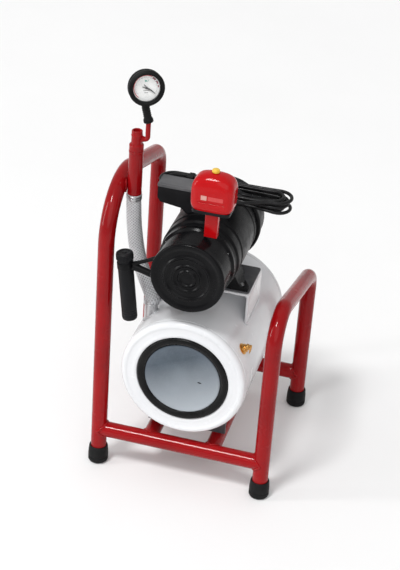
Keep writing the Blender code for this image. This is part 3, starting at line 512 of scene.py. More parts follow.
def rounded_route(points, radii, steps=20):
    points = [Vector(point) for point in points]
    route = [points[0]]
    for before, corner, after, radius in zip(points, points[1:], points[2:], radii):
        back = (before - corner).normalized()
        ahead = (after - corner).normalized()
        half = back.angle(ahead) / 2
        centre = corner + (back + ahead).normalized() * radius / math.sin(half)
        first = corner + back * radius / math.tan(half) - centre
        last = corner + ahead * radius / math.tan(half) - centre
        for step in range(steps + 1):
            route.append(centre + first.slerp(last, step / steps).normalized() * radius)
    route.append(points[-1])
    return route


def smooth_route(points, per_span=8):
    points = [Vector(point) for point in points]
    padded = [points[0] * 2 - points[1], *points, points[-1] * 2 - points[-2]]
    route = []
    for before, start, end, after in zip(padded, padded[1:], padded[2:], padded[3:]):
        for step in range(per_span):
            t = step / per_span
            pull = (end - before) * t + (before * 2 - start * 5 + end * 4 - after) * t * t
            pull += (start * 3 - before - end * 3 + after) * t * t * t
            route.append(start + pull / 2)
    route.append(points[-1])
    return route


def add_tube(shape, route, radius, sides=32, looped=False):
    """A round bar along a route. The radius is one number, or one for each point of the route."""
    route = [Vector(point) for point in route]
    count = len(route)
    radii = radius if isinstance(radius, list) else [radius] * count
    flat = shape.loops.layers.uv.verify()
    rings = []
    travelled = [0.0]
    for start, end in zip(route, route[1:]):
        travelled.append(travelled[-1] + (end - start).length)
    across = None
    for index, point in enumerate(route):
        ahead = route[(index + 1) % count] if looped else route[min(index + 1, count - 1)]
        behind = route[index - 1] if looped else route[max(index - 1, 0)]
        way = (ahead - behind).normalized()
        across = way.orthogonal() if across is None else across
        across = (across - way * across.dot(way)).normalized()
        other = way.cross(across)
        ring = []
        for angle in turns(sides):
            offset = across * math.cos(angle) + other * math.sin(angle)
            ring.append(shape.verts.new(point + offset * radii[index]))
        rings.append(ring)
    for index in range(count if looped else count - 1):
        lower, upper = rings[index], rings[(index + 1) % count]
        for step in range(sides):
            after = (step + 1) % sides
            face = shape.faces.new([lower[step], lower[after], upper[after], upper[step]])
            heights = (travelled[index], travelled[(index + 1) % count])
            corners = ((step, 0), (step + 1, 0), (step + 1, 1), (step, 1))
            for loop, (turn, level) in zip(face.loops, corners):
                loop[flat].uv = (turn / sides, heights[level])
    if not looped:
        shape.faces.new(rings[0])
        shape.faces.new(rings[-1])


def add_prism(shape, outline, low, high, matrix=Matrix.Identity(4)):
    """An outline in local XY, extruded along local Z."""
    ends = []
    for level in (low, high):
        ends.append([shape.verts.new(matrix @ Vector((u, v, level))) for u, v in outline])
    for step in range(len(outline)):
        after = (step + 1) % len(outline)
        shape.faces.new([ends[0][step], ends[0][after], ends[1][after], ends[1][step]])
    for end in ends:
        shape.faces.new(end)


UPRIGHT = Matrix(((1, 0, 0, 0), (0, 0, -1, 0), (0, 1, 0, 0), (0, 0, 0, 1)))


def upright(y_low, y_high):
    """Levels and matrix for an outline in world XZ that is extruded along Y."""
    return -y_high, -y_low, UPRIGHT


def rectangle(centre, half_x, half_y, radius=0.0, steps=6):
    corners = ((1, 1, 0), (-1, 1, 90), (-1, -1, 180), (1, -1, 270))
    outline = []
    for side_x, side_y, start in corners:
        middle = (centre[0] + side_x * (half_x - radius), centre[1] + side_y * (half_y - radius))
        outline += arc(middle, radius, start, start + 90, steps) if radius else [middle]
    return outline


def add_screw(shape, place, size):
    """A washer and a bolt's hexagonal head, standing on a level surface."""
    matrix = standing(place)
    add_lathe(shape, disc(size * 1.7, 0, size * 0.25), matrix, 32, 0.0002)
    top = size * 1.1
    head = [(0, size * 0.25), (size, size * 0.25), (size, top), (size * 0.8, top * 1.1), (0, top * 1.1)]
    add_lathe(shape, head, matrix, 6, 0.0002)


def added(name, data):
    """A new object in the scene."""
    made = bpy.data.objects.new(name, data)
    bpy.context.scene.collection.objects.link(made)
    return made


def add_bevel(made, width, segments=3):
    edges = made.modifiers.new("Edges", "BEVEL")
    edges.width = width
    edges.segments = segments
    edges.limit_method = "ANGLE"
    edges.angle_limit = math.radians(35)


def piece(name, shape, finish, slot, body="compressor", replaces=(), bevel=0.0, sharp=32):
    """Closes a bmesh into a named piece that rides on a CAD body and may stand for CAD nodes."""
    bmesh.ops.recalc_face_normals(shape, faces=shape.faces)
    mesh = bpy.data.meshes.new(name)
    shape.to_mesh(mesh)
    shape.free()
    mesh.shade_smooth()
    mesh.set_sharp_from_angle(angle=math.radians(sharp))
    mesh.materials.append(finish)
    made = added(name, mesh)
    if bevel:
        add_bevel(made, bevel)
    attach(made, body)
    if replaces:
        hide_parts(*replaces)
    return made


def turned(name, profile, matrix, finish, slot, sides=ROUND, corner=0.0008, **options):
    """A piece that is one turned shape."""
    shape = bmesh.new()
    add_lathe(shape, profile, matrix, sides, corner)
    return piece(name, shape, finish, slot, **options)


def cut(made, cutter):
    """Takes a helper shape out of a piece for good."""
    mesh = bpy.data.meshes.new("cutter")
    bmesh.ops.recalc_face_normals(cutter, faces=cutter.faces)
    cutter.to_mesh(mesh)
    cutter.free()
    helper = added("cutter", mesh)
    boolean = made.modifiers.new("Cut", "BOOLEAN")
    boolean.solver = "EXACT"
    boolean.object = helper
    bpy.context.view_layer.update()
    graph = bpy.context.evaluated_depsgraph_get()
    result = bpy.data.meshes.new_from_object(made.evaluated_get(graph))
    made.modifiers.clear()
    made.data = result
    result.shade_smooth()
    result.set_sharp_from_angle(angle=math.radians(32))
    bpy.data.objects.remove(helper)
    return made


# ---------------------------------------------------------------- camera


CAMERA_TURN = math.radians(13.37)  # round to the right from straight in front
CAMERA_PITCH = math.radians(30.99)  # looking down
CAMERA_ROLL = math.radians(4.25)
CAMERA_PLACE = (0.5422, -2.3589, 1.7729)
CAMERA_LENS = 101.05  # millimetres, on a sensor 36 mm high


def make_camera():
    turn, pitch, roll = CAMERA_TURN, CAMERA_PITCH, CAMERA_ROLL
    ahead = Vector((-math.sin(turn) * math.cos(pitch), math.cos(turn) * math.cos(pitch), -math.sin(pitch)))
    level = Vector((math.cos(turn), math.sin(turn), 0))
    over = level.cross(ahead)
    right = level * math.cos(roll) + over * math.sin(roll)
    upward = over * math.cos(roll) - level * math.sin(roll)
    data = bpy.data.cameras.new("camera")
    data.sensor_fit = "VERTICAL"
    data.sensor_width = 36
    data.sensor_height = 36
    data.lens = CAMERA_LENS
    data.clip_end = 50
    made = added("camera", data)
    columns = Matrix((right, upward, -ahead)).transposed().to_4x4()
    made.matrix_world = Matrix.Translation(CAMERA_PLACE) @ columns
    bpy.context.scene.camera = made


# ---------------------------------------------------------------- the power cord

HANK_LOW, HANK_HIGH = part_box("power_cord_hank")
HANK = (HANK_LOW + HANK_HIGH) / 2
FOLD_X = (HANK_HIGH.x - HANK_LOW.x) / 2 - (HANK_HIGH.y - HANK_LOW.y) / 2
OUTER_ROW = (HANK_HIGH.y - HANK_LOW.y) / 2 - CORD_R
ROW_STEP = 2 * CORD_R
LAYER_STEP = 2 * CORD_R + 0.00015
TURNS = ((2, 0), (2, 1), (1, 1), (1, 0), (0, 0), (0, 1))  # (layer, row) of each turn
SPLAY = (0.0, -0.008, -0.002, -0.005, -0.001, -0.007)  # how much less far each turn reaches to the right
PLUG_LOW, PLUG_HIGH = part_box("power_plug")
PLUG_BODY_X = PLUG_HIGH.x - 0.036  # where the plug's body ends and its pins begin


def eased(t):
    t = min(max(t, 0.0), 1.0)
    return t * t * (3 - 2 * t)


def row_radius(turn):
    return OUTER_ROW - TURNS[turn][1] * ROW_STEP


def layer_z(turn):
    return HANK_LOW.z + CORD_R + TURNS[turn][0] * LAYER_STEP


def drooping(x, turn):
    """The free right end spreads a little, its lower turns hanging more."""
    beyond = eased((x - 0.060) / 0.07)
    return (0.0016, -0.0016, -0.0052)[2 - TURNS[turn][0]] * beyond


def fold(turn, side):
    """Half a turn round one end of the hank: front to back on the right, back to front on the left."""
    radius = row_radius(turn)
    middle = HANK.x + side * FOLD_X + (SPLAY[turn] if side > 0 else -SPLAY[turn] * 0.5)
    points = []
    for step in range(13):
        angle = math.radians(-90 * side + 180 * step / 12)
        x = middle + radius * math.cos(angle)
        z = layer_z(turn) + (drooping(x, turn) if side > 0 else 0.0)
        points.append(Vector((x, HANK.y + radius * math.sin(angle), z)))
    return points


def front_run(turn):
    """Left to right along the front, moving over into the next turn's place on the way."""
    start, end = fold(turn, -1)[-1], fold(turn + 1, 1)[0]
    change_at = 0.084 - turn * 0.035
    points = []
    steps = 26
    for step in range(1, steps):
        x = start.x + (end.x - start.x) * step / steps
        share = eased((x - change_at + 0.014) / 0.028)
        y = HANK.y - (row_radius(turn) * (1 - share) + row_radius(turn + 1) * share)
        z = layer_z(turn) * (1 - share) + layer_z(turn + 1) * share
        droop = drooping(x, turn) * (1 - share) + drooping(x, turn + 1) * share
        points.append(Vector((x, y, z + droop)))
    return points


def rear_run(turn):
    start, end = fold(turn, 1)[-1], fold(turn, -1)[0]
    points = []
    for step in range(1, 16):
        x = start.x + (end.x - start.x) * step / 16
        points.append(Vector((x, start.y, layer_z(turn) + drooping(x, turn))))
    return points


def cord_route():
    """From the gland, over to the hank's front, six times round, and in to the plug in its middle."""
    start = Vector((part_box("terminal_box")[1].x + 0.0006, GLAND_Y, GLAND_Z))
    joining = fold(0, 1)[0]
    route = [start, start + Vector((0.008, 0, 0)), start + Vector((0.015, 0, 0))]
    for step in range(1, 14):
        t = step / 14
        x = route[2].x + (joining.x - route[2].x) * t
        y = GLAND_Y + (joining.y - GLAND_Y) * eased(t)
        z = GLAND_Z + (joining.z - GLAND_Z) * eased(t * 1.3)
        route.append(Vector((x, y, z)))
    last = len(TURNS) - 1
    for turn in range(last):
        route += fold(turn, 1) + rear_run(turn) + fold(turn, -1) + front_run(turn)
    route += fold(last, 1)
    leaving = route[-1]
    plug_back = Vector((PLUG_HIGH.x + 0.004, HANK.y, (PLUG_LOW.z + PLUG_HIGH.z) / 2))
    for step in range(1, 17):
        t = step / 16
        x = leaving.x + (plug_back.x - leaving.x) * t
        y = leaving.y + (plug_back.y - leaving.y) * eased(t * 1.06)
        z = leaving.z + (plug_back.z - leaving.z) * eased(t)
        route.append(Vector((x, y, z)))
    return route


def power_cord():
    route = cord_route()
    data = bpy.data.curves.new("power_cord", "CURVE")
    data.dimensions = "3D"
    data.bevel_depth = CORD_R
    data.bevel_resolution = 4
    data.use_fill_caps = True
    spline = data.splines.new("POLY")
    spline.points.add(len(route) - 1)
    for point, spot in zip(spline.points, route):
        point.co = (*spot, 1.0)
    spline.use_smooth = True
    data.materials.append(CORD)
    made = added("power_cord", data)
    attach(made, "compressor")
    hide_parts("power_cord_lead", "power_cord_hank")
    pieces = [*plug(), gland_boot(), cord_tie()]


def plug():
    """A moulded two-pin plug: a waisted body with grip ribs, a ribbed strain relief and two pins."""
    shape = bmesh.new()
    middle = (PLUG_LOW + PLUG_HIGH) / 2
    half_y = (PLUG_HIGH.y - PLUG_LOW.y) / 2
    half_z = (PLUG_HIGH.z - PLUG_LOW.z) / 2
    stations = [(0.0, 0.93), (0.002, 1.0), (0.009, 1.0), (0.013, 0.90), (0.024, 0.80), (0.032, 0.66),
                (0.036, 0.45)]
    rings = []
    for reach, share in stations:
        outline = rectangle((middle.y, middle.z), half_y * share, half_z * share, 0.006 * share)
        rings.append([shape.verts.new((PLUG_BODY_X + reach, y, z)) for y, z in outline])
    skin(shape, rings)
    shape.faces.new(rings[0])
    shape.faces.new(rings[-1])
    for index in range(4):
        reach = 0.0145 + index * 0.0035
        share = 0.90 - index * 0.035
        loop = rectangle((middle.y, middle.z), half_y * share, half_z * share, 0.006)
        route = [(PLUG_BODY_X + reach, y, z) for y, z in loop]
        add_tube(shape, route, 0.0007, 10, looped=True)
    relief = [(0, 0), (0.0055, 0), (0.0042, 0.012), (0.0035, 0.020), (0, 0.020)]
    add_lathe(shape, relief, standing((PLUG_HIGH.x - 0.003, middle.y, middle.z), (1, 0, 0)), 32)
    ribs_from = standing((PLUG_HIGH.x + 0.0005, middle.y, middle.z), (1, 0, 0))
    add_ribs(shape, ribs_from, 4, 0.0052, 0.0, 0.0035, 32, 0.0003)
    body = piece("plug_body", shape, MOULDED, "black_plastic", replaces=["power_plug"])
    pins = bmesh.new()
    for side in (-1, 1):
        base = (PLUG_BODY_X + 0.001, middle.y + side * 0.0075, middle.z)
        reach = PLUG_BODY_X - PLUG_LOW.x + 0.001
        add_lathe(pins, disc(0.0022, 0, reach), standing(base, (-1, 0, 0)), 24, 0.0012)
    return [body, piece("plug_pins", pins, STEEL, "steel")]


def gland_boot():
    """A hexagonal gland nut with a ribbed, tapered boot over the cord."""
    shape = bmesh.new()
    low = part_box("cord_gland")[0]
    matrix = standing((low.x, GLAND_Y, GLAND_Z), (1, 0, 0))
    add_lathe(shape, disc(0.0078, 0, 0.0055), matrix, 6, 0.0006)
    sleeve = [(0, 0.005), (0.0062, 0.005), (0.0052, 0.010), (0.0036, 0.026), (0, 0.026)]
    add_lathe(shape, sleeve, matrix, 40)
    add_ribs(shape, matrix, 5, 0.0060, 0.0085, 0.0034, 40, 0.0004)
    return piece("gland_boot", shape, MOULDED, "black_plastic", replaces=["cord_gland"])


def cord_tie():
    """A flat strap round the whole hank, with its buckle on top."""
    shape = bmesh.new()
    x = HANK.x - 0.066
    half_y = (HANK_HIGH.y - HANK_LOW.y) / 2 + 0.0006
    half_z = 3 * LAYER_STEP / 2 + 0.0004
    middle = (HANK.y, HANK_LOW.z + 3 * LAYER_STEP / 2)
    turned_over = Matrix(((0, 0, 1, 0), (1, 0, 0, 0), (0, 1, 0, 0), (0, 0, 0, 1)))
    inside = rectangle(middle, half_y, half_z, 0.003)
    outside = rectangle(middle, half_y + 0.0009, half_z + 0.0009, 0.0038)
    rings = []
    for outline, level in ((inside, -0.0045), (outside, -0.0045), (outside, 0.0045), (inside, 0.0045)):
        rings.append([shape.verts.new(turned_over @ Vector((u, v, x + level))) for u, v in outline])
    skin(shape, rings + rings[:1])
    buckle = rectangle((x, HANK.y + 0.006), 0.0055, 0.004, 0.0012)
    top = middle[1] + half_z
    add_prism(shape, buckle, top + 0.0002, top + 0.0028)
    return piece("cord_tie", shape, RUBBER, "black_rubber", bevel=0.0003)


# ---------------------------------------------------------------- frame and feet


def side_loop(name, node, side, front_corner_z, rear_corner_z, front_radius, rear_radius):
    x = side * LEG_X
    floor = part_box(node)[0].z
    corners = [(x, FRONT_LEG_Y, floor), (x, FRONT_LEG_Y, front_corner_z)]
    corners += [(x, REAR_LEG_Y, rear_corner_z), (x, REAR_LEG_Y, floor)]
    shape = bmesh.new()
    add_tube(shape, rounded_route(corners, (front_radius, rear_radius), 28), TUBE_R, 48)
    piece(name, shape, RED, "red_paint", replaces=[node])


def add_weld(shape, corner, bar_axis, leg_axis, leg_r=TUBE_R, bar_r=TUBE_R, bead=0.0022):
    """A rippled bead along the line where a bar's end meets a tube that crosses it."""
    corner, out, leg = Vector(corner), Vector(bar_axis), Vector(leg_axis)
    side = out.cross(leg)
    route = []
    radii = []
    for angle in turns(120):
        across = bar_r * math.cos(angle)
        deep = math.sqrt(max(leg_r ** 2 - across ** 2, 0.0))
        lift = leg * bar_r * math.sin(angle)
        route.append(corner + side * across + lift + out * (deep + 0.0004))
        radii.append(bead * (1 + 0.16 * math.sin(30 * angle) + 0.10 * math.sin(7 * angle)))
    add_tube(shape, route, radii, 12, looped=True)


def frame_tubes():
    """The two side loops, the crossbars and rails between them, and the weld beads at their joints."""
    side_loop("left_loop_tube", "left_loop", -1, 0.571, 0.485, 0.095, 0.036)
    side_loop("right_loop_tube", "right_loop", 1, 0.373, 0.290, 0.052, 0.036)
    welds = bmesh.new()
    for name, node, y in (("front_bar", "front_crossbar", FRONT_LEG_Y),
                          ("rear_bar", "rear_crossbar", REAR_LEG_Y)):
        shape = bmesh.new()
        add_tube(shape, [(-LEG_X, y, CROSSBAR_Z), (LEG_X, y, CROSSBAR_Z)], TUBE_R - 0.00005, 48)
        piece(name, shape, RED, "red_paint", replaces=[node])
        for side in (-1, 1):
            add_weld(welds, (side * LEG_X, y, CROSSBAR_Z), (-side, 0, 0), UP)
    for name, node, x in (("left_rail_tube", "left_rail", -RAIL_X),
                          ("right_rail_tube", "right_rail", RAIL_X)):
        shape = bmesh.new()
        ends = [(x, FRONT_LEG_Y, CROSSBAR_Z), (x, REAR_LEG_Y, CROSSBAR_Z)]
        add_tube(shape, ends, TUBE_R - 0.0001, 48)
        piece(name, shape, RED, "red_paint", replaces=[node])
        add_weld(welds, ends[0], BACK, (1, 0, 0))
        add_weld(welds, ends[1], -BACK, (1, 0, 0))
    for offset in (-0.0085, 0.0085):
        route = [(-0.1362, RISER.y + offset * 0.8, 0.522 + 0.004 * step) for step in range(7)]
        radii = [0.0010, 0.0021, 0.0024, 0.0021, 0.0025, 0.0021, 0.0010]
        add_tube(welds, route, radii, 12)
    piece("frame_welds", welds, RED, "red_paint", sharp=60)


def rubber_foot(node):
    """A rubber cap on the end of a leg, with a groove round it and a chamfered sole."""
    low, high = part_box(node)
    radius = (high.x - low.x) / 2
    height = high.z - low.z
    bore = TUBE_R + 0.0002
    profile = [(0, 0), (radius - 0.0045, 0), (radius - 0.004, 0.0012), (radius - 0.0015, 0.0012)]
    profile += [(radius, 0.004), (radius, 0.010), (radius - 0.0009, 0.011), (radius - 0.0009, 0.0125)]
    profile += [(radius, 0.0135), (radius - 0.0002, 0.021), (radius - 0.0012, height - 0.003)]
    profile += [(radius - 0.0020, height), (bore, height), (bore, 0.0082), (0, 0.0082)]
    middle = (low + high) / 2
    turned("rubber_" + node, profile, standing((middle.x, middle.y, low.z)), RUBBER, "black_rubber", 72,
           0.0009, replaces=[node])


def cradle(node):
    """The cradle: an upright sheet that the tank lies in, and a foot flange bolted to each rail."""
    low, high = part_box(node)
    floor, sheet = low.z, 0.005
    seat = arc((0, TANK_Z), TANK_R + 0.0003, -51, -129, 32)
    outline = [(low.x, floor), (high.x, floor), *seat]
    shape = bmesh.new()
    add_prism(shape, outline, *upright(low.y, low.y + sheet))
    half_y = (high.y - low.y) / 2 - 0.001
    flange = rectangle((0, (low.y + high.y) / 2 + 0.001), RAIL_X + 0.010, half_y, 0.004)
    add_prism(shape, flange, floor, floor + sheet)
    for side in (-1, 1):
        spot = (side * RAIL_X, low.y + 0.020, floor + sheet)
        add_screw(shape, spot, 0.0045)
    piece("bracket_" + node, shape, PLATE, "grey_paint", replaces=[node], bevel=0.0007)


# ---------------------------------------------------------------- tank

TANK_AXIS = standing((0, 0, TANK_Z), BACK)
RELIEF_ANGLE = math.radians(33)  # up from level, on the tank's right side


def tank_body():
    """The shell with its two girth welds and the domed rear head."""
    shape = bmesh.new()
    skirt = TANK_FRONT_Y + 0.0125
    dome = []
    for step in range(1, 25):
        angle = math.radians(90 * step / 24)
        dome.append((TANK_R * math.cos(angle), TANK_REAR_Y + 0.006 + 0.030 * math.sin(angle)))
    dome[-1] = (0, dome[-1][1])
    inner = TANK_R - 0.003
    profile = [(0, skirt + 0.02), (inner, skirt + 0.02), (inner, skirt), (TANK_R - 0.0002, skirt)]
    profile += [(TANK_R, skirt + 0.0012), (TANK_R, TANK_REAR_Y - 0.001),
                (TANK_R - 0.0010, TANK_REAR_Y + 0.0002)]
    profile += [(TANK_R, TANK_REAR_Y + 0.0014), (TANK_R, TANK_REAR_Y + 0.006), *dome]
    add_lathe(shape, profile, TANK_AXIS, 160, 0.0006)
    for y in (skirt + 0.0003, TANK_REAR_Y + 0.0002):
        route = []
        radii = []
        reach = TANK_R - 0.0004
        for angle in turns(720):
            route.append((reach * math.sin(angle), y, TANK_Z + reach * math.cos(angle)))
            radii.append(0.0008 * (1 + 0.25 * math.sin(150 * angle)))
        add_tube(shape, route, radii, 8, looped=True)
    piece("tank_body", shape, WHITE, "white_paint", replaces=["tank_shell", "tank_rear_head"], sharp=40)


def tank_front():
    """The flanged front ring: a rolled outer rim, a shallow step and a flat face round the seal."""
    y = TANK_FRONT_Y
    edge = 0.008
    rolled = [(TANK_R - edge + r, y + edge + h) for r, h in arc((0, 0), edge, 0, -100, 12)]
    hole = SEAL_R + 0.0003
    profile = [*rolled, (TANK_R - 0.0125, y + 0.0012), (TANK_R - 0.020, y + 0.0014),
               (hole + 0.004, y + 0.0006)]
    profile += [(hole, y + 0.0014), (hole, y + 0.009), (TANK_R - 0.004, y + 0.0118), (TANK_R, y + 0.0118)]
    turned("tank_front_ring", profile, TANK_AXIS, WHITE, "white_paint", 160, 0.0010,
           replaces=["tank_front_head"], sharp=50)


def seal_ring():
    """A rubber ring with a full round lip, a step inside and a thin groove outside."""
    proud = TANK_FRONT_Y - 0.002
    inner = COVER_R + 0.0003
    profile = [(SEAL_R, TANK_FRONT_Y + 0.009), (SEAL_R, proud + 0.0042), (SEAL_R - 0.0015, proud + 0.0012)]
    profile += [(SEAL_R - 0.0045, proud), (SEAL_R - 0.0085, proud + 0.0003),
                (inner + 0.0035, proud + 0.0014)]
    profile += [(inner + 0.0012, proud + 0.0030), (inner, proud + 0.0042), (inner, TANK_FRONT_Y + 0.0065)]
    profile += [(inner - 0.0015, TANK_FRONT_Y + 0.0065), (inner - 0.0015, TANK_FRONT_Y + 0.009)]
    turned("seal_ring", profile, TANK_AXIS, SEAL, "black_rubber", 160, 0.0012, replaces=["end_seal"],
           sharp=50)


def end_disc():
    """The dished disc, deepest in its middle, with a small dark tab to the right of the middle."""
    back = TANK_FRONT_Y + 0.0061
    profile = [(0, TANK_FRONT_Y + 0.0030)]
    for step in range(1, 25):
        radius = (COVER_R - 0.002) * step / 24
        bowl = 0.0022 * math.cos(math.radians(90 * step / 24)) ** 1.5
        profile.append((radius, TANK_FRONT_Y + 0.0008 + bowl))
    profile += [(COVER_R, TANK_FRONT_Y + 0.0018), (COVER_R, back), (0, back)]
    turned("end_disc", profile, TANK_AXIS, DISC, "blue_grey_cover", 144, 0.0005, replaces=["end_cover"],
           sharp=50)
    slot = bmesh.new()
    middle = Vector((0.031, TANK_FRONT_Y + 0.0020, TANK_Z - 0.001))
    route = [middle + Vector((0.0012 * (step - 3), 0, -0.00012 * (step - 3))) for step in range(7)]
    add_tube(slot, route, [0.0003, 0.0007, 0.0009, 0.0009, 0.0008, 0.0006, 0.0002], 12)
    piece("end_disc_tab", slot, SEAL, "black_rubber")


def relief_valve():
    """A brass relief valve: hexagon, body, spring cap, stem and a pull ring."""
    out = Vector((math.cos(RELIEF_ANGLE), 0, math.sin(RELIEF_ANGLE)))
    start = Vector((0, FRONT_LEG_Y + 0.022, TANK_Z)) + out * (TANK_R - 0.0005)
    matrix = standing(start, out)
    shape = bmesh.new()
    add_lathe(shape, disc(0.0100, 0, 0.0012), matrix, 48, 0.0004)
    add_lathe(shape, disc(0.0082, 0.0010, 0.0066), matrix, 6, 0.0004)
    upper = [(0, 0.006), (0.0055, 0.006), (0.0055, 0.0080), (0.0050, 0.0084), (0.0050, 0.0094),
             (0.0055, 0.0098)]
    upper += [(0.0055, 0.0125), (0.0038, 0.0142), (0.0022, 0.0146), (0.0022, 0.0172), (0, 0.0172)]
    add_lathe(shape, upper, matrix, 48, 0.0004)
    loop_middle = start + out * 0.0160 + Vector((0.0005, 0, -0.0062))
    ring = []
    for turn in turns(48):
        across = BACK * 0.0070 * math.sin(turn)
        ring.append(loop_middle + across + Vector((0.10, 0, 1)) * 0.0070 * math.cos(turn))
    add_tube(shape, ring, 0.0007, 12, looped=True)
    piece("relief_valve", shape, BRASS, "brass", replaces=["safety_valve"])


def drain_tap():
    """A brass tap under the tank: a turned body, a hexagon at its top and a narrow outlet."""
    low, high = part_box("drain_valve_body")
    top = high.z
    shape = bmesh.new()
    body = [(0, low.z), (0.0045, low.z), (0.0045, low.z + 0.003), (0.0038, low.z + 0.0035),
            (0.0038, low.z + 0.009)]
    body += [(0.0078, low.z + 0.011), (0.0078, top - 0.007), (0.0060, top - 0.005), (0.0060, top + 0.001),
             (0, top + 0.001)]
    add_lathe(shape, body, standing((0, 0, 0)), 48, 0.0006)
    add_lathe(shape, disc(0.0088, top - 0.006, top - 0.0012), standing((0, 0, 0)), 6, 0.0005)
    piece("drain_tap", shape, BRASS, "brass", replaces=["drain_valve_body"])


def drain_lever():
    """The tap's red lever, with a small pivot cap."""
    low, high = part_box("drain_valve_handle")
    middle = (low + high) / 2
    lever = bmesh.new()
    outline = rectangle((middle.x, middle.z), (high.x - low.x) / 2, (high.z - low.z) / 2, 0.0038, 10)
    add_prism(lever, outline, *upright(low.y + 0.001, high.y))
    add_lathe(lever, disc(0.0030, 0, 0.0012), standing((0, low.y + 0.0012, middle.z), -BACK), 24, 0.0003)
    piece("drain_lever", lever, HOOD, "red_plastic", body="drain_handle", replaces=["drain_valve_handle"],
          bevel=0.0008)


def saddle():
    """The bent sheet bridge: rounded shoulders and a weld along each foot on the tank."""
    low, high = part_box("motor_saddle")
    outer_x, top = SADDLE_X, SADDLE_TOP_Z
    foot_z = TANK_Z + math.sqrt((TANK_R + 0.0003) ** 2 - outer_x ** 2)
    inner_x, under = outer_x - 0.004, top - 0.004
    inner_foot = TANK_Z + math.sqrt((TANK_R + 0.0003) ** 2 - inner_x ** 2)
    outline = [(outer_x, foot_z), *arc((outer_x - 0.006, top - 0.006), 0.006, 0, 90, 8)]
    outline += [*arc((0.006 - outer_x, top - 0.006), 0.006, 90, 180, 8), (-outer_x, foot_z),
                (-inner_x, inner_foot)]
    outline += [*arc((0.003 - inner_x, under - 0.003), 0.003, 180, 90, 6)]
    outline += [*arc((inner_x - 0.003, under - 0.003), 0.003, 90, 0, 6), (inner_x, inner_foot)]
    shape = bmesh.new()
    add_prism(shape, outline, *upright(low.y, high.y))
    piece("saddle_bridge", shape, WHITE, "white_paint", replaces=["motor_saddle"], bevel=0.0008)
    welds = bmesh.new()
    for side in (-1, 1):
        route = [(side * (outer_x + 0.0006), low.y + 0.002 + 0.0008 * step, foot_z + 0.0006)
                 for step in range(115)]
        radii = [0.0016 * (1 + 0.22 * math.sin(step * 2.1)) for step in range(115)]
        add_tube(welds, route, radii, 10)
    piece("saddle_welds", welds, WHITE, "white_paint", sharp=60)


def base_plate():
    low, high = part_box("mounting_plate")
    shape = bmesh.new()
    middle = ((low.x + high.x) / 2, (low.y + high.y) / 2)
    add_prism(shape, rectangle(middle, (high.x - low.x) / 2, (high.y - low.y) / 2, 0.005), low.z, high.z)
    piece("base_plate", shape, PLATE, "grey_paint", replaces=["mounting_plate"], bevel=0.0006)


def motor_feet():
    """The casting that cradles the motor, narrowed to the rear, and its two bolts."""
    low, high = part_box("motor_feet")
    seat = arc((0, MOTOR_Z), MOTOR_R + 0.0003, -38, -142, 40)
    outline = [(low.x, low.z), (high.x, low.z), (high.x, low.z + 0.0055), (0.069, low.z + 0.0070),
               (0.0625, low.z + 0.013)]
    outline += [*seat, (-0.0625, low.z + 0.013), (-0.069, low.z + 0.0070), (low.x, low.z + 0.0055)]
    casting = bmesh.new()
    add_prism(casting, outline, *upright(low.y, high.y))
    made = piece("motor_foot_casting", casting, SMOOTH_BLACK, "black_paint", replaces=["motor_feet"])
    bolts = bmesh.new()
    for side in (-1, 1):
        taper = bmesh.new()
        corner = [(side * 0.081, low.y + 0.010), (side * 0.081, high.y + 0.001),
                  (side * 0.058, high.y + 0.001)]
        add_prism(taper, corner, low.z - 0.010, low.z + 0.012)
        cut(made, taper)
        add_screw(bolts, (side * 0.0665, low.y + 0.0085, low.z + 0.0070), 0.0030)
    add_bevel(made, 0.0009, 2)
    piece("motor_foot_bolts", bolts, STEEL, "steel")


# ---------------------------------------------------------------- pump and motor

MOTOR_AXIS = standing((0, 0, MOTOR_Z), BACK)
# (radius, height, width) of each ridge
COVER_RIDGES = ((0.014, 0.0030, 0.0022), (0.024, 0.0029, 0.0023), (0.039, 0.0029, 0.0027))


def front_cover():
    """The cast cover: three soft ridges round a shallow hollow, a sunk ring and a raised rim."""
    low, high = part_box("pump_front_cover")
    face = low.y + 0.003
    profile = [(0, face - 0.0012)]
    for step in range(1, 70):
        radius = (PUMP_R - 0.0045) * step / 69
        level = face
        for ridge, height, width in COVER_RIDGES:
            level -= height * math.exp(-(((radius - ridge) / width) ** 2))
        level -= 0.0012 * (1 - eased(radius / 0.012))
        level -= 0.0022 * eased((radius - 0.050) / 0.008)
        profile.append((radius, level))
    profile += [(PUMP_R - 0.0035, low.y + 0.0006), (PUMP_R - 0.0015, low.y + 0.0010),
                (PUMP_R - 0.0002, low.y + 0.0030)]
    profile += [(PUMP_R, low.y + 0.0045), (PUMP_R, high.y), (0, high.y)]
    turned("front_cover", profile, MOTOR_AXIS, SMOOTH_BLACK, "black_paint", 128, 0,
           replaces=["pump_front_cover"], sharp=50)


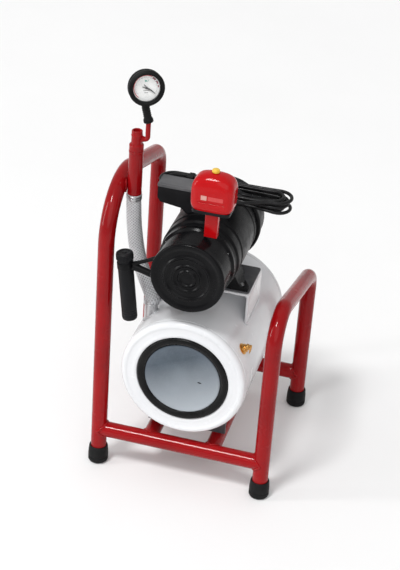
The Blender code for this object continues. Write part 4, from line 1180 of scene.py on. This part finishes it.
def pump_body():
    """The housing with its off-centre bore, a bearing seat behind, the switch's pad on top and six bolts."""
    low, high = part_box("pump_housing")
    outer, flange = PUMP_R - 0.002, PUMP_R + 0.002
    profile = [(0, low.y), (outer, low.y), (outer, high.y - 0.012)]
    profile += [(flange, high.y - 0.008), (flange, high.y), (0, high.y)]
    shape = bmesh.new()
    add_lathe(shape, profile, MOTOR_AXIS, 112, 0.0010)
    pad = rectangle((SWITCH.x, SWITCH.y), 0.016, 0.011, 0.003)
    add_prism(shape, pad, MOTOR_Z + PUMP_R - 0.024, MOTOR_Z + PUMP_R)
    made = piece("pump_body", shape, SMOOTH_BLACK, "black_paint", replaces=["pump_housing"])
    bore = bmesh.new()
    wall = high.y - 0.013
    offset = standing((0, 0, MOTOR_Z - 0.006), BACK)
    add_lathe(bore, disc(0.040, low.y - 0.01, wall), offset, 64, 0)
    cut(made, bore)
    seat = bmesh.new()
    step_y = high.y - 0.009
    ring = [(0, wall - 0.01), (0.0095, wall - 0.01), (0.0095, step_y), (BEARING_SEAT_R, step_y)]
    add_lathe(seat, [*ring, (BEARING_SEAT_R, high.y + 0.01), (0, high.y + 0.01)], MOTOR_AXIS, 48, 0)
    cut(made, seat)
    bolts = bmesh.new()
    for index in range(6):
        angle = math.radians(30 + 60 * index)
        spot = (0.0596 * math.cos(angle), high.y - 0.0121, MOTOR_Z + 0.0596 * math.sin(angle))
        add_lathe(bolts, disc(0.0030, 0, 0.003), standing(spot, BACK), 6, 0.0003)
    piece("pump_bolts", bolts, STEEL, "steel")


def motor_barrel():
    """The motor's shell, with a stepped front edge and two shallow rolled grooves."""
    low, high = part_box("motor_shell")
    front, back = low.y, high.y
    inner = MOTOR_R - 0.004
    profile = [(MOTOR_R - 0.003, front), (MOTOR_R - 0.003, front + 0.010), (MOTOR_R, front + 0.014)]
    profile += [(MOTOR_R, front + 0.030), (MOTOR_R - 0.0015, front + 0.032),
                (MOTOR_R - 0.0015, front + 0.038)]
    profile += [(MOTOR_R, front + 0.040), (MOTOR_R, back - 0.026), (MOTOR_R - 0.0010, back - 0.0245)]
    profile += [(MOTOR_R - 0.0010, back - 0.018), (MOTOR_R, back - 0.0165), (MOTOR_R, back), (inner, back),
                (inner, front)]
    turned("motor_barrel", profile, MOTOR_AXIS, CAST, "black_paint", 112, 0.0008, replaces=["motor_shell"])


def rear_shield():
    low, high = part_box("rear_bell")
    front, back, rim = low.y, high.y, (high.x - low.x) / 2
    profile = [(rim - 0.002, front), (rim, front + 0.002), (rim, back - 0.003), (rim - 0.003, back)]
    seat = back - 0.0093
    profile += [(BEARING_SEAT_R, back), (BEARING_SEAT_R, seat), (0.009, seat), (0.009, front)]
    turned("rear_shield", profile, MOTOR_AXIS, CAST, "black_paint", 112, 0.0012, replaces=["rear_bell"])


def air_cowl():
    """The fan's cover: a thin cup with eight round holes in its back and four screws in its side."""
    low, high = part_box("fan_cowl")
    front, back, outer = low.y, high.y, (high.x - low.x) / 2
    wall = 0.002
    profile = [(outer, front), (outer, back - 0.010), (outer - 0.001, back - 0.006),
               (outer - 0.004, back - 0.0025)]
    profile += [(outer - 0.010, back), (0.012, back), (0.012, back - wall), (outer - 0.011, back - wall)]
    profile += [(outer - 0.0055, back - 0.0045), (outer - wall, back - 0.010), (outer - wall, front)]
    made = turned("air_cowl", profile, MOTOR_AXIS, CAST, "black_paint", 112, 0.0010, replaces=["fan_cowl"])
    for angle in turns(8, 0.3):
        spot = (0.040 * math.cos(angle), back - 0.01, MOTOR_Z + 0.040 * math.sin(angle))
        hole = bmesh.new()
        add_lathe(hole, disc(0.0089, 0, 0.02), standing(spot, BACK), 40, 0)
        cut(made, hole)
    screws = bmesh.new()
    for index in range(4):
        angle = math.radians(45 + 90 * index)
        out = Vector((math.cos(angle), 0, math.sin(angle)))
        spot = Vector((0, front + 0.008, MOTOR_Z)) + out * (outer - 0.0002)
        add_lathe(screws, [(0, 0), (0.0034, 0), (0.0030, 0.0014), (0, 0.0020)], standing(spot, out), 24,
                  0.0003)
    piece("cowl_screws", screws, STEEL, "steel")


FILTER_WAY = (FILTER_TOP - FILTER_FOOT).normalized()


def canister():
    """The slim filter body, open at its top and grooved near its foot."""
    length = (FILTER_TOP - FILTER_FOOT).length
    profile = [(0, 0), (FILTER_R - 0.004, 0), (FILTER_R - 0.001, 0.0015), (FILTER_R, 0.005)]
    for index in range(3):
        at = 0.010 + index * 0.0045
        profile += [(FILTER_R, at), (FILTER_R - 0.0006, at + 0.0008), (FILTER_R - 0.0006, at + 0.0018),
                    (FILTER_R, at + 0.0026)]
    profile += [(FILTER_R, length - 0.010), (FILTER_R - 0.0008, length - 0.009),
                (FILTER_R - 0.0008, length)]
    profile += [(FILTER_R - 0.002, length), (FILTER_R - 0.002, 0.004), (0, 0.004)]
    turned("canister", profile, standing(FILTER_FOOT, FILTER_WAY), MOULDED, "black_plastic", 72, 0.0004,
           replaces=["filter_canister"])


def canister_cap():
    """A knurled cap with a shallow dish and a centre button on top."""
    cap_r = FILTER_R + 0.0016
    cap = bmesh.new()
    matrix = standing(FILTER_TOP, FILTER_WAY)
    add_lathe(cap, disc(cap_r, 0.0003, 0.0095), matrix, 216, 0.0006, 36, 0.0007)
    top = [(0, 0.0090), (cap_r - 0.0004, 0.0090), (cap_r - 0.0006, 0.0112), (cap_r - 0.0024, 0.0127)]
    top += [(cap_r - 0.0050, 0.0129), (cap_r - 0.0058, 0.0119), (0.004, 0.0119), (0.003, 0.0127),
            (0, 0.0128)]
    add_lathe(cap, top, matrix, 72, 0.0004)
    piece("canister_cap", cap, MOULDED, "black_plastic", replaces=["filter_cap"])


def add_strut(shape, start, end, waist, flare, sides):
    """A straight bar that widens towards both ends."""
    route = [start + (end - start) * step / 16 for step in range(17)]
    radii = [waist + flare * abs(step / 8 - 1) ** 3 for step in range(17)]
    add_tube(shape, route, radii, sides)


def intake_bracket():
    """The air passage from the pump to the filter, a thin stay above it and a clamp round the filter."""
    arm = bmesh.new()
    y = FILTER_TOP.y
    add_strut(arm, Vector((-0.0985, y, 0.4220)), Vector((-0.0560, y, 0.4106)), 0.0060, 0.0016, 32)
    add_strut(arm, Vector((-0.0985, y, 0.4258)), Vector((-0.0580, y, 0.4461)), 0.0033, 0.0014, 24)
    clamp = collar(FILTER_R + 0.0009, FILTER_R + 0.0001, 0, 0.011)
    add_lathe(arm, clamp, standing(FILTER_TOP - FILTER_WAY * 0.0165, FILTER_WAY), 72, 0.0004)
    piece("intake_bracket", arm, CAST, "black_paint", replaces=["intake_arm"])


# ---------------------------------------------------------------- terminal box


def junction_box():
    low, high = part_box("terminal_box")
    crown = arc((0, MOTOR_Z), MOTOR_R + 0.0003, 80, 121, 20)
    outline = [(high.x, high.z), (high.x, 0.500), *crown, (-0.046, 0.498), (low.x + 0.005, 0.503)]
    outline = softened([*outline, (low.x, 0.511), (low.x, high.z)], 0.0016)
    shape = bmesh.new()
    add_prism(shape, outline, *upright(low.y, high.y))
    piece("junction_box", shape, MOULDED, "black_plastic", replaces=["terminal_box"], bevel=0.0012)


def junction_lid():
    """A flat lid with a shallow step round its edge and a screw in each corner."""
    low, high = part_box("terminal_box_lid")
    middle = (low + high) / 2
    half_x, half_y = (high.x - low.x) / 2, (high.y - low.y) / 2
    lid = bmesh.new()
    add_prism(lid, rectangle((middle.x, middle.y), half_x, half_y, 0.003), low.z, high.z - 0.0006)
    step_in = rectangle((middle.x, middle.y), half_x - 0.0035, half_y - 0.0035, 0.002)
    add_prism(lid, step_in, high.z - 0.0010, high.z)
    piece("junction_lid", lid, LID, "grey_paint", replaces=["terminal_box_lid"], bevel=0.0009)
    screws = bmesh.new()
    in_x, in_y = half_x - 0.008, half_y - 0.008
    head = [(0, 0), (0.0027, 0), (0.0024, 0.0007), (0, 0.0008)]
    for side_x, side_y in ((-1, -1), (-1, 1), (1, -1), (1, 1)):
        spot = (middle.x + side_x * in_x, middle.y + side_y * in_y, high.z - 0.0008)
        add_lathe(screws, head, standing(spot), 24, 0.0002)
    piece("junction_screws", screws, STEEL, "steel")


# ---------------------------------------------------------------- pressure switch

HOOD_HEIGHT = 0.062
HOOD_FRONT = SWITCH.y - 0.0240
# (how far in from the widest, height, squareness) of each level
HOOD_LEVELS = ((0.004, 0.0, 4.5), (0.001, 0.006, 4.5), (0.0, 0.016, 4.5), (0.0, 0.034, 4.5))
HOOD_LEVELS += ((0.0015, 0.044, 4.2), (0.0055, 0.052, 3.8), (0.012, 0.0575, 3.2), (0.021, 0.061, 2.6))


def hood_ring(shape, inset, level, squareness, spots=96):
    """One level of the hood: a superellipse, more square low down than near the top."""
    half_x, half_y = 0.036, SWITCH.y - HOOD_FRONT
    ring = []
    for angle in turns(spots, 0.5):
        c, s = math.cos(angle), math.sin(angle)
        reach = (abs(c) ** squareness + abs(s) ** squareness) ** (-1 / squareness)
        x = SWITCH.x + (half_x - inset) * c * reach
        y = SWITCH.y + (half_y - inset * half_y / half_x) * s * reach
        ring.append(shape.verts.new((x, y, SWITCH.z + level)))
    return ring


def hole_ring(shape, level, radius=0.0048, spots=96):
    ring = []
    for angle in turns(spots, 0.5):
        x = SWITCH.x + radius * math.cos(angle)
        y = SWITCH.y + radius * math.sin(angle)
        ring.append(shape.verts.new((x, y, SWITCH.z + level)))
    return ring


def hood():
    """The switch's thin red hood, open below, with a hole for the knob and a groove across its front."""
    levels = smooth_route(HOOD_LEVELS, 6)
    wall = 0.0025
    shape = bmesh.new()
    rings = [hood_ring(shape, *level) for level in levels]
    rings.append(hole_ring(shape, HOOD_HEIGHT))
    rings.append(hole_ring(shape, HOOD_HEIGHT - wall))
    for inset, level, squareness in reversed(levels):
        rings.append(hood_ring(shape, inset + wall, max(level - wall, 0.0), squareness))
    skin(shape, rings + rings[:1])
    made = piece("hood", shape, HOOD, "red_plastic", replaces=["switch_cover"], sharp=55)
    groove = bmesh.new()
    ends = [(SWITCH.x + reach, HOOD_FRONT, SWITCH.z + 0.0165) for reach in (-0.0215, 0.0225)]
    add_tube(groove, ends, 0.0010, 16)
    cut(made, groove)


def hood_label(name, offset, half_x, half_z, proud, finish):
    """A thin blank mark on the hood's flat front."""
    outline = rectangle((SWITCH.x + offset, SWITCH.z + 0.0255), half_x, half_z, 0.0006)
    shape = bmesh.new()
    add_prism(shape, outline, *upright(HOOD_FRONT - proud, HOOD_FRONT + 0.001))
    piece(name, shape, finish, "red_plastic")


def knob():
    low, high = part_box("switch_knob")
    top = high.z - 0.006
    shape = bmesh.new()
    stem = disc(0.004, low.z, top + 0.0005)
    add_lathe(shape, stem, standing((SWITCH.x, SWITCH.y, 0)), 32, 0.0003)
    grip = disc(0.0065, top, top + 0.0038)
    add_lathe(shape, grip, standing((SWITCH.x, SWITCH.y, 0)), 120, 0.0005, 20, 0.0005)
    cap = [(0, top + 0.0034), (0.0062, top + 0.0034), (0.0058, top + 0.0046), (0.0045, top + 0.0056),
           (0, top + 0.0060)]
    add_lathe(shape, cap, standing((SWITCH.x, SWITCH.y, 0)), 48, 0.0005)
    piece("pull_knob", shape, YELLOW, "yellow_plastic", body="switch_knob", replaces=["switch_knob"])


def switch_stand():
    low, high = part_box("switch_neck")
    shape = bmesh.new()
    middle = (low + high) / 2
    outline = rectangle((middle.x, middle.y), (high.x - low.x) / 2, (high.y - low.y) / 2, 0.0015)
    add_prism(shape, outline, low.z, high.z)
    piece("switch_stand", shape, HOOD, "red_paint", replaces=["switch_neck"], bevel=0.0007)


def switch_tray():
    """The dark tray under the hood."""
    low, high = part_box("switch_base")
    tray = bmesh.new()
    add_prism(tray, rectangle((SWITCH.x, SWITCH.y), 0.032, 0.021, 0.008, 10), low.z, high.z)
    piece("switch_tray", tray, MOULDED, "black_plastic", replaces=["switch_base"], bevel=0.0008)


# ---------------------------------------------------------------- riser, gauge and hose


def riser_pipe():
    profile = [(RISER_R, 0), (RISER_R, 0.003), (RISER_R - 0.0004, 0.0034), (RISER_R - 0.0004, 0.0760),
               (RISER_R, 0.0765)]
    profile += [(RISER_R, 0.080), (RISER_R - 0.003, 0.080), (RISER_R - 0.003, 0)]
    turned("riser_pipe", profile, standing(RISER), RED, "red_paint", 64, 0.0005, replaces=["riser_tube"])


def riser_cap():
    """The stepped top of the riser, with a rolled ring and an open socket."""
    profile = [(0, 0.0803), (0.0122, 0.0803), (0.0122, 0.0902), (0.0108, 0.0920), (0.0092, 0.0922),
               (0.0092, 0.1060)]
    profile += [(0.0098, 0.1066), (0.0098, 0.1085), (0.0092, 0.1091), (0.0092, 0.1150), (0.0086, 0.1160)]
    profile += [(0.0070, 0.1160), (0.0064, 0.1150), (0.0062, 0.1110), (0, 0.1105)]
    turned("riser_cap", profile, standing(RISER), RED, "red_paint", 64, 0.0005, replaces=["riser_head"])


def gauge_elbow():
    """The thin pipe from the riser's cap up to the gauge, with a hexagonal nut at its start."""
    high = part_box("gauge_pipe")[1]
    start = RISER + Vector((0.0085, 0, 0.102))
    turn = Vector((high.x - PIPE_R, RISER.y, start.z))
    end = Vector((turn.x, turn.y, high.z))
    elbow = bmesh.new()
    add_tube(elbow, rounded_route([start, turn, end], [0.0060], 16), PIPE_R, 32)
    add_lathe(elbow, disc(0.0058, 0, 0.0028), standing(start + Vector((0.0003, 0, 0)), (1, 0, 0)), 6,
              0.0003)
    piece("gauge_elbow", elbow, RED, "red_paint", replaces=["gauge_pipe"])


# The gauge's own axes: its +Z looks out of the dial.
GAUGE_FRAME = Matrix.Translation(GAUGE) @ Matrix.Rotation(GAUGE_TURN, 4, "Z")
GAUGE_FRAME = GAUGE_FRAME @ Matrix.Rotation(math.radians(90) - GAUGE_TILT, 4, "X")


def boot():
    """The rubber boot: a cup with a rolled lip and a shallow waist, on a ribbed stem with a flared collar."""
    recess = 0.0228
    rim = [(BOOT_R - 0.004 + r, 0.007 + z) for r, z in arc((0, 0), 0.004, 0, 90, 10)]
    cup = [(0, -0.010), (BOOT_R - 0.007, -0.010), (BOOT_R - 0.003, -0.0088), (BOOT_R - 0.0008, -0.0060)]
    cup += [(BOOT_R - 0.0004, -0.003), (BOOT_R - 0.0013, 0.0006), (BOOT_R - 0.0006, 0.0040), *rim]
    cup += [(recess + 0.0025, 0.0110), (recess + 0.0008, 0.0102), (recess, 0.0088), (recess, -0.005),
            (0, -0.005)]
    shape = bmesh.new()
    add_lathe(shape, cup, GAUGE_FRAME, 96, 0.0008)
    foot = Vector((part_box("gauge_pipe")[1].x - PIPE_R, RISER.y, GAUGE.z - BOOT_R - 0.0295))
    top = GAUGE - Vector((0.001, 0, BOOT_R - 0.004))
    way = top - foot
    length = way.length
    stem = [(0, -0.0014), (0.0070, -0.0014), (0.0082, -0.0004), (0.0082, 0.0040), (0.0070, 0.0066)]
    for index in range(5):
        at = 0.0092 + index * 0.0036
        stem += [(0.0062, at), (0.0068, at + 0.0009), (0.0068, at + 0.0019), (0.0061, at + 0.0028)]
    stem += [(0.0060, length - 0.004), (0.0080, length), (0, length)]
    add_lathe(shape, stem, standing(foot, way), 48, 0.0003)
    piece("boot", shape, RUBBER, "black_rubber", replaces=["gauge_boot"], sharp=45)
    ring = [(recess - 0.0001, 0.0034), (recess - 0.0001, 0.0084), (recess - 0.0005, 0.0086),
            (recess - 0.0006, 0.0034)]
    turned("gauge_bezel", ring, GAUGE_FRAME, MOULDED, "black_plastic", 96, 0.0002)


def add_print(shape, outline):
    """A thin printed shape on the dial's face."""
    add_prism(shape, outline, 0.0030, 0.00312, GAUGE_FRAME)


def add_band(shape, inner, outer, start, end):
    steps = max(3, int(abs(end - start) / 4))
    outline = arc((0, 0), outer, start, end, steps) + arc((0, 0), inner, end, start, steps)
    add_print(shape, outline)


def dial():
    """A plain card with ticks, two blank bars, a red band, darker bands and a green mark."""
    turned("dial_card", disc(0.0225, -0.0047, 0.003), GAUGE_FRAME, DIAL, "dial_white", 96, 0,
           replaces=["gauge_dial"])
    ink = bmesh.new()
    for index in range(51):
        angle = 215 - 250 * index / 50
        long_one = index % 10 == 0
        add_band(ink, 0.0158 if long_one else 0.0170, 0.0184, angle - 0.45, angle + 0.45)
    for level, half in ((-0.0050, 0.0048), (-0.0085, 0.0030)):
        add_print(ink, rectangle((0, level), half, 0.0004))
    piece("dial_ticks", ink, INK, "dial_white")
    red = bmesh.new()
    add_band(red, 0.0196, 0.0210, 62, 232)
    piece("dial_band", red, PINK, "dial_white")
    dark = bmesh.new()
    for start, end, inner in ((40, 58, 0.0180), (18, 34, 0.0184), (0, 12, 0.0190)):
        add_band(dark, inner, 0.0208, start, end)
    piece("dial_dark_band", dark, MAROON, "dial_white")
    green = bmesh.new()
    add_print(green, [(0.0018 * math.cos(turn) - 0.0010, 0.0112 + 0.0016 * math.sin(turn))
                      for turn in turns(24)])
    add_print(green, [(0.0012, 0.0098), (0.0020, 0.0098), (0.0044, 0.0132), (0.0036, 0.0132)])
    piece("dial_green", green, GREEN, "dial_white")


def needle():
    """A slim pointer that curves slightly, with a round hub and a forked tail."""
    matrix = GAUGE_FRAME @ Matrix.Rotation(NEEDLE_REST, 4, "Z")
    shape = bmesh.new()
    upper = []
    lower = []
    for step in range(13):
        t = step / 12
        x = 0.0012 + 0.0163 * t
        bow = 0.0010 * math.sin(math.pi * t)
        half = 0.0012 * (1 - t) + 0.00040
        upper.append((x, bow + half))
        lower.append((x, bow - half))
    add_prism(shape, upper + lower[::-1], 0.0043, 0.0049, matrix)
    for side in (-1, 1):
        tail = [(-0.001, side * 0.0004), (-0.0066, side * 0.0018), (-0.0060, side * 0.0030),
                (-0.001, side * 0.0016)]
        add_prism(shape, tail, 0.0043, 0.0049, matrix)
    add_lathe(shape, disc(0.0022, 0.0042, 0.0050), matrix, 40, 0.0002)
    piece("pointer", shape, NEEDLE, "black_paint", body="gauge_needle", replaces=["gauge_needle"])


def lens():
    recess = 0.0221
    dome = [(recess * (12 - step) / 12, 0.0078 + 0.0007 * math.sin(math.pi / 2 * step / 12))
            for step in range(13)]
    turned("lens", [(0, 0.0065), (recess, 0.0065), *dome[:-1], (0, 0.0085)], GAUGE_FRAME, GLASS,
           "clear_lens", 96, 0, replaces=["gauge_lens"])


def hose():
    """The braided hose, with a pressed ferrule at each end and the bulge of the braid beside it."""
    start, end = RISER - Vector((0, 0, 0.0003)), NIPPLE + Vector((0, 0, 0.0003))
    drop = Vector((0, 0, 0.009))
    bends = [Vector((-0.119, FRONT_LEG_Y + 0.059, 0.450)), Vector((-0.106, FRONT_LEG_Y + 0.054, 0.395))]
    route = smooth_route([start, start - drop, start - drop * 2, *bends, end + drop * 2, end + drop, end],
                         14)
    shape = bmesh.new()
    count = len(route)
    radii = [HOSE_R - 0.0004 * (1 + math.cos(math.tau * step / (count - 1))) for step in range(count)]
    add_tube(shape, route, radii, 96)
    piece("hose", shape, BRAID, "braid", replaces=["braided_hose"], sharp=60)
    rings = bmesh.new()
    outer, inner = HOSE_R + 0.0004, HOSE_R - 0.001
    band = [(inner, 0), (outer, 0), (outer, 0.0035), (inner, 0.0035)]
    for place in (start - drop * 1.15, end + drop * 0.15):
        for offset in (0.0005, 0.0050):
            add_lathe(rings, band, standing(place + UP * offset), 72, 0.0006)
    piece("hose_ferrules", rings, STEEL, "steel")


def nipple():
    low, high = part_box("tank_nipple")
    radius = (high.x - low.x) / 2
    place = standing((NIPPLE.x, NIPPLE.y, 0))
    turned("nipple_stub", disc(radius, low.z, high.z), place, STEEL, "steel", 72, 0.0006,
           replaces=["tank_nipple"])
    weld = bmesh.new()
    route = []
    radii = []
    for angle in turns(180):
        x = NIPPLE.x + radius * math.cos(angle)
        y = NIPPLE.y + radius * math.sin(angle)
        route.append((x, y, TANK_Z + math.sqrt(TANK_R ** 2 - x * x) + 0.0004))
        radii.append(0.0021 * (1 + 0.18 * math.sin(26 * angle)))
    add_tube(weld, route, radii, 10, looped=True)
    piece("nipple_weld", weld, WHITE, "white_paint", sharp=60)


# ---------------------------------------------------------------- inner CAD parts


def finish_inner_parts():
    """The moving parts inside keep their CAD shape and get detailed materials."""
    finishes = dict.fromkeys(("stator", "rotor_core"), LAMINATION)
    finishes |= dict.fromkeys(("motor_shaft", "front_bearing", "rear_bearing", "cooling_fan",
                               "pump_rotor"), STEEL)
    finishes |= dict.fromkeys(("vane_1", "vane_2", "vane_3"), MOULDED)
    for name, finish in finishes.items():
        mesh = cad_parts[name].data
        mesh.materials.clear()
        mesh.materials.append(finish)


# ---------------------------------------------------------------- floor and light


ROOM_LIGHT = 0.57
KEY_POWER = 1.55
FILL_POWER = 0.55
SOFTBOX_POWER = 12


def floor():
    """A wide pale slab just under the feet."""
    shape = bmesh.new()
    add_prism(shape, rectangle((0, 0), 9.0, 9.0), -0.02, -0.0001)
    mesh = bpy.data.meshes.new("floor")
    bmesh.ops.recalc_face_normals(shape, faces=shape.faces)
    shape.to_mesh(mesh)
    shape.free()
    mesh.materials.append(floor_paint())
    added("floor", mesh)


def add_lamp(name, kind, place, target, power):
    data = bpy.data.lights.new(name, kind)
    data.energy = power
    made = added(name, data)
    way = Vector(place) - Vector(target)
    made.matrix_world = Matrix.Translation(place) @ way.to_track_quat("Z", "Y").to_matrix().to_4x4()
    return data


def light_scene():
    """A pale room, a key from the upper left front, a broad fill from the right and a softbox on the left."""
    world = bpy.data.worlds.new("studio")
    world.use_nodes = True
    background = world.node_tree.nodes["Background"]
    background.inputs["Color"].default_value = (1.0, 1.0, 1.0, 1)
    background.inputs["Strength"].default_value = ROOM_LIGHT
    bpy.context.scene.world = world
    bpy.context.scene.view_settings.view_transform = "Standard"
    key = add_lamp("key", "SUN", (-0.5, -1.0, 2.0), (0, 0, 0), KEY_POWER)
    key.angle = math.radians(12)
    fill = add_lamp("fill", "SUN", (0.5, -1.5, 1.1), (0, 0, 0), FILL_POWER)
    fill.angle = math.radians(50)
    box = add_lamp("softbox", "AREA", (-1.9, -0.9, 1.1), (0, 0, 0.35), SOFTBOX_POWER)
    box.shape = "RECTANGLE"
    box.size = 0.22
    box.size_y = 1.30


# ---------------------------------------------------------------- the whole


def build():
    make_camera()
    power_cord()
    frame_tubes()
    for node in ("foot_front_left", "foot_front_right", "foot_rear_left", "foot_rear_right"):
        rubber_foot(node)
    cradle("tank_cradle_front")
    cradle("tank_cradle_rear")
    tank_body()
    tank_front()
    seal_ring()
    end_disc()
    relief_valve()
    drain_tap()
    drain_lever()
    saddle()
    base_plate()
    motor_feet()
    front_cover()
    pump_body()
    motor_barrel()
    rear_shield()
    air_cowl()
    canister()
    canister_cap()
    intake_bracket()
    junction_box()
    junction_lid()
    hood()
    hood_label("hood_mark", -0.0115, 0.0048, 0.0040, 0.0003, ROSE)
    hood_label("hood_strip", 0.0080, 0.0125, 0.0036, 0.0002, FADED)
    knob()
    switch_stand()
    switch_tray()
    riser_pipe()
    riser_cap()
    gauge_elbow()
    boot()
    dial()
    needle()
    lens()
    hose()
    nipple()
    finish_inner_parts()
    floor()
    light_scene()


build()
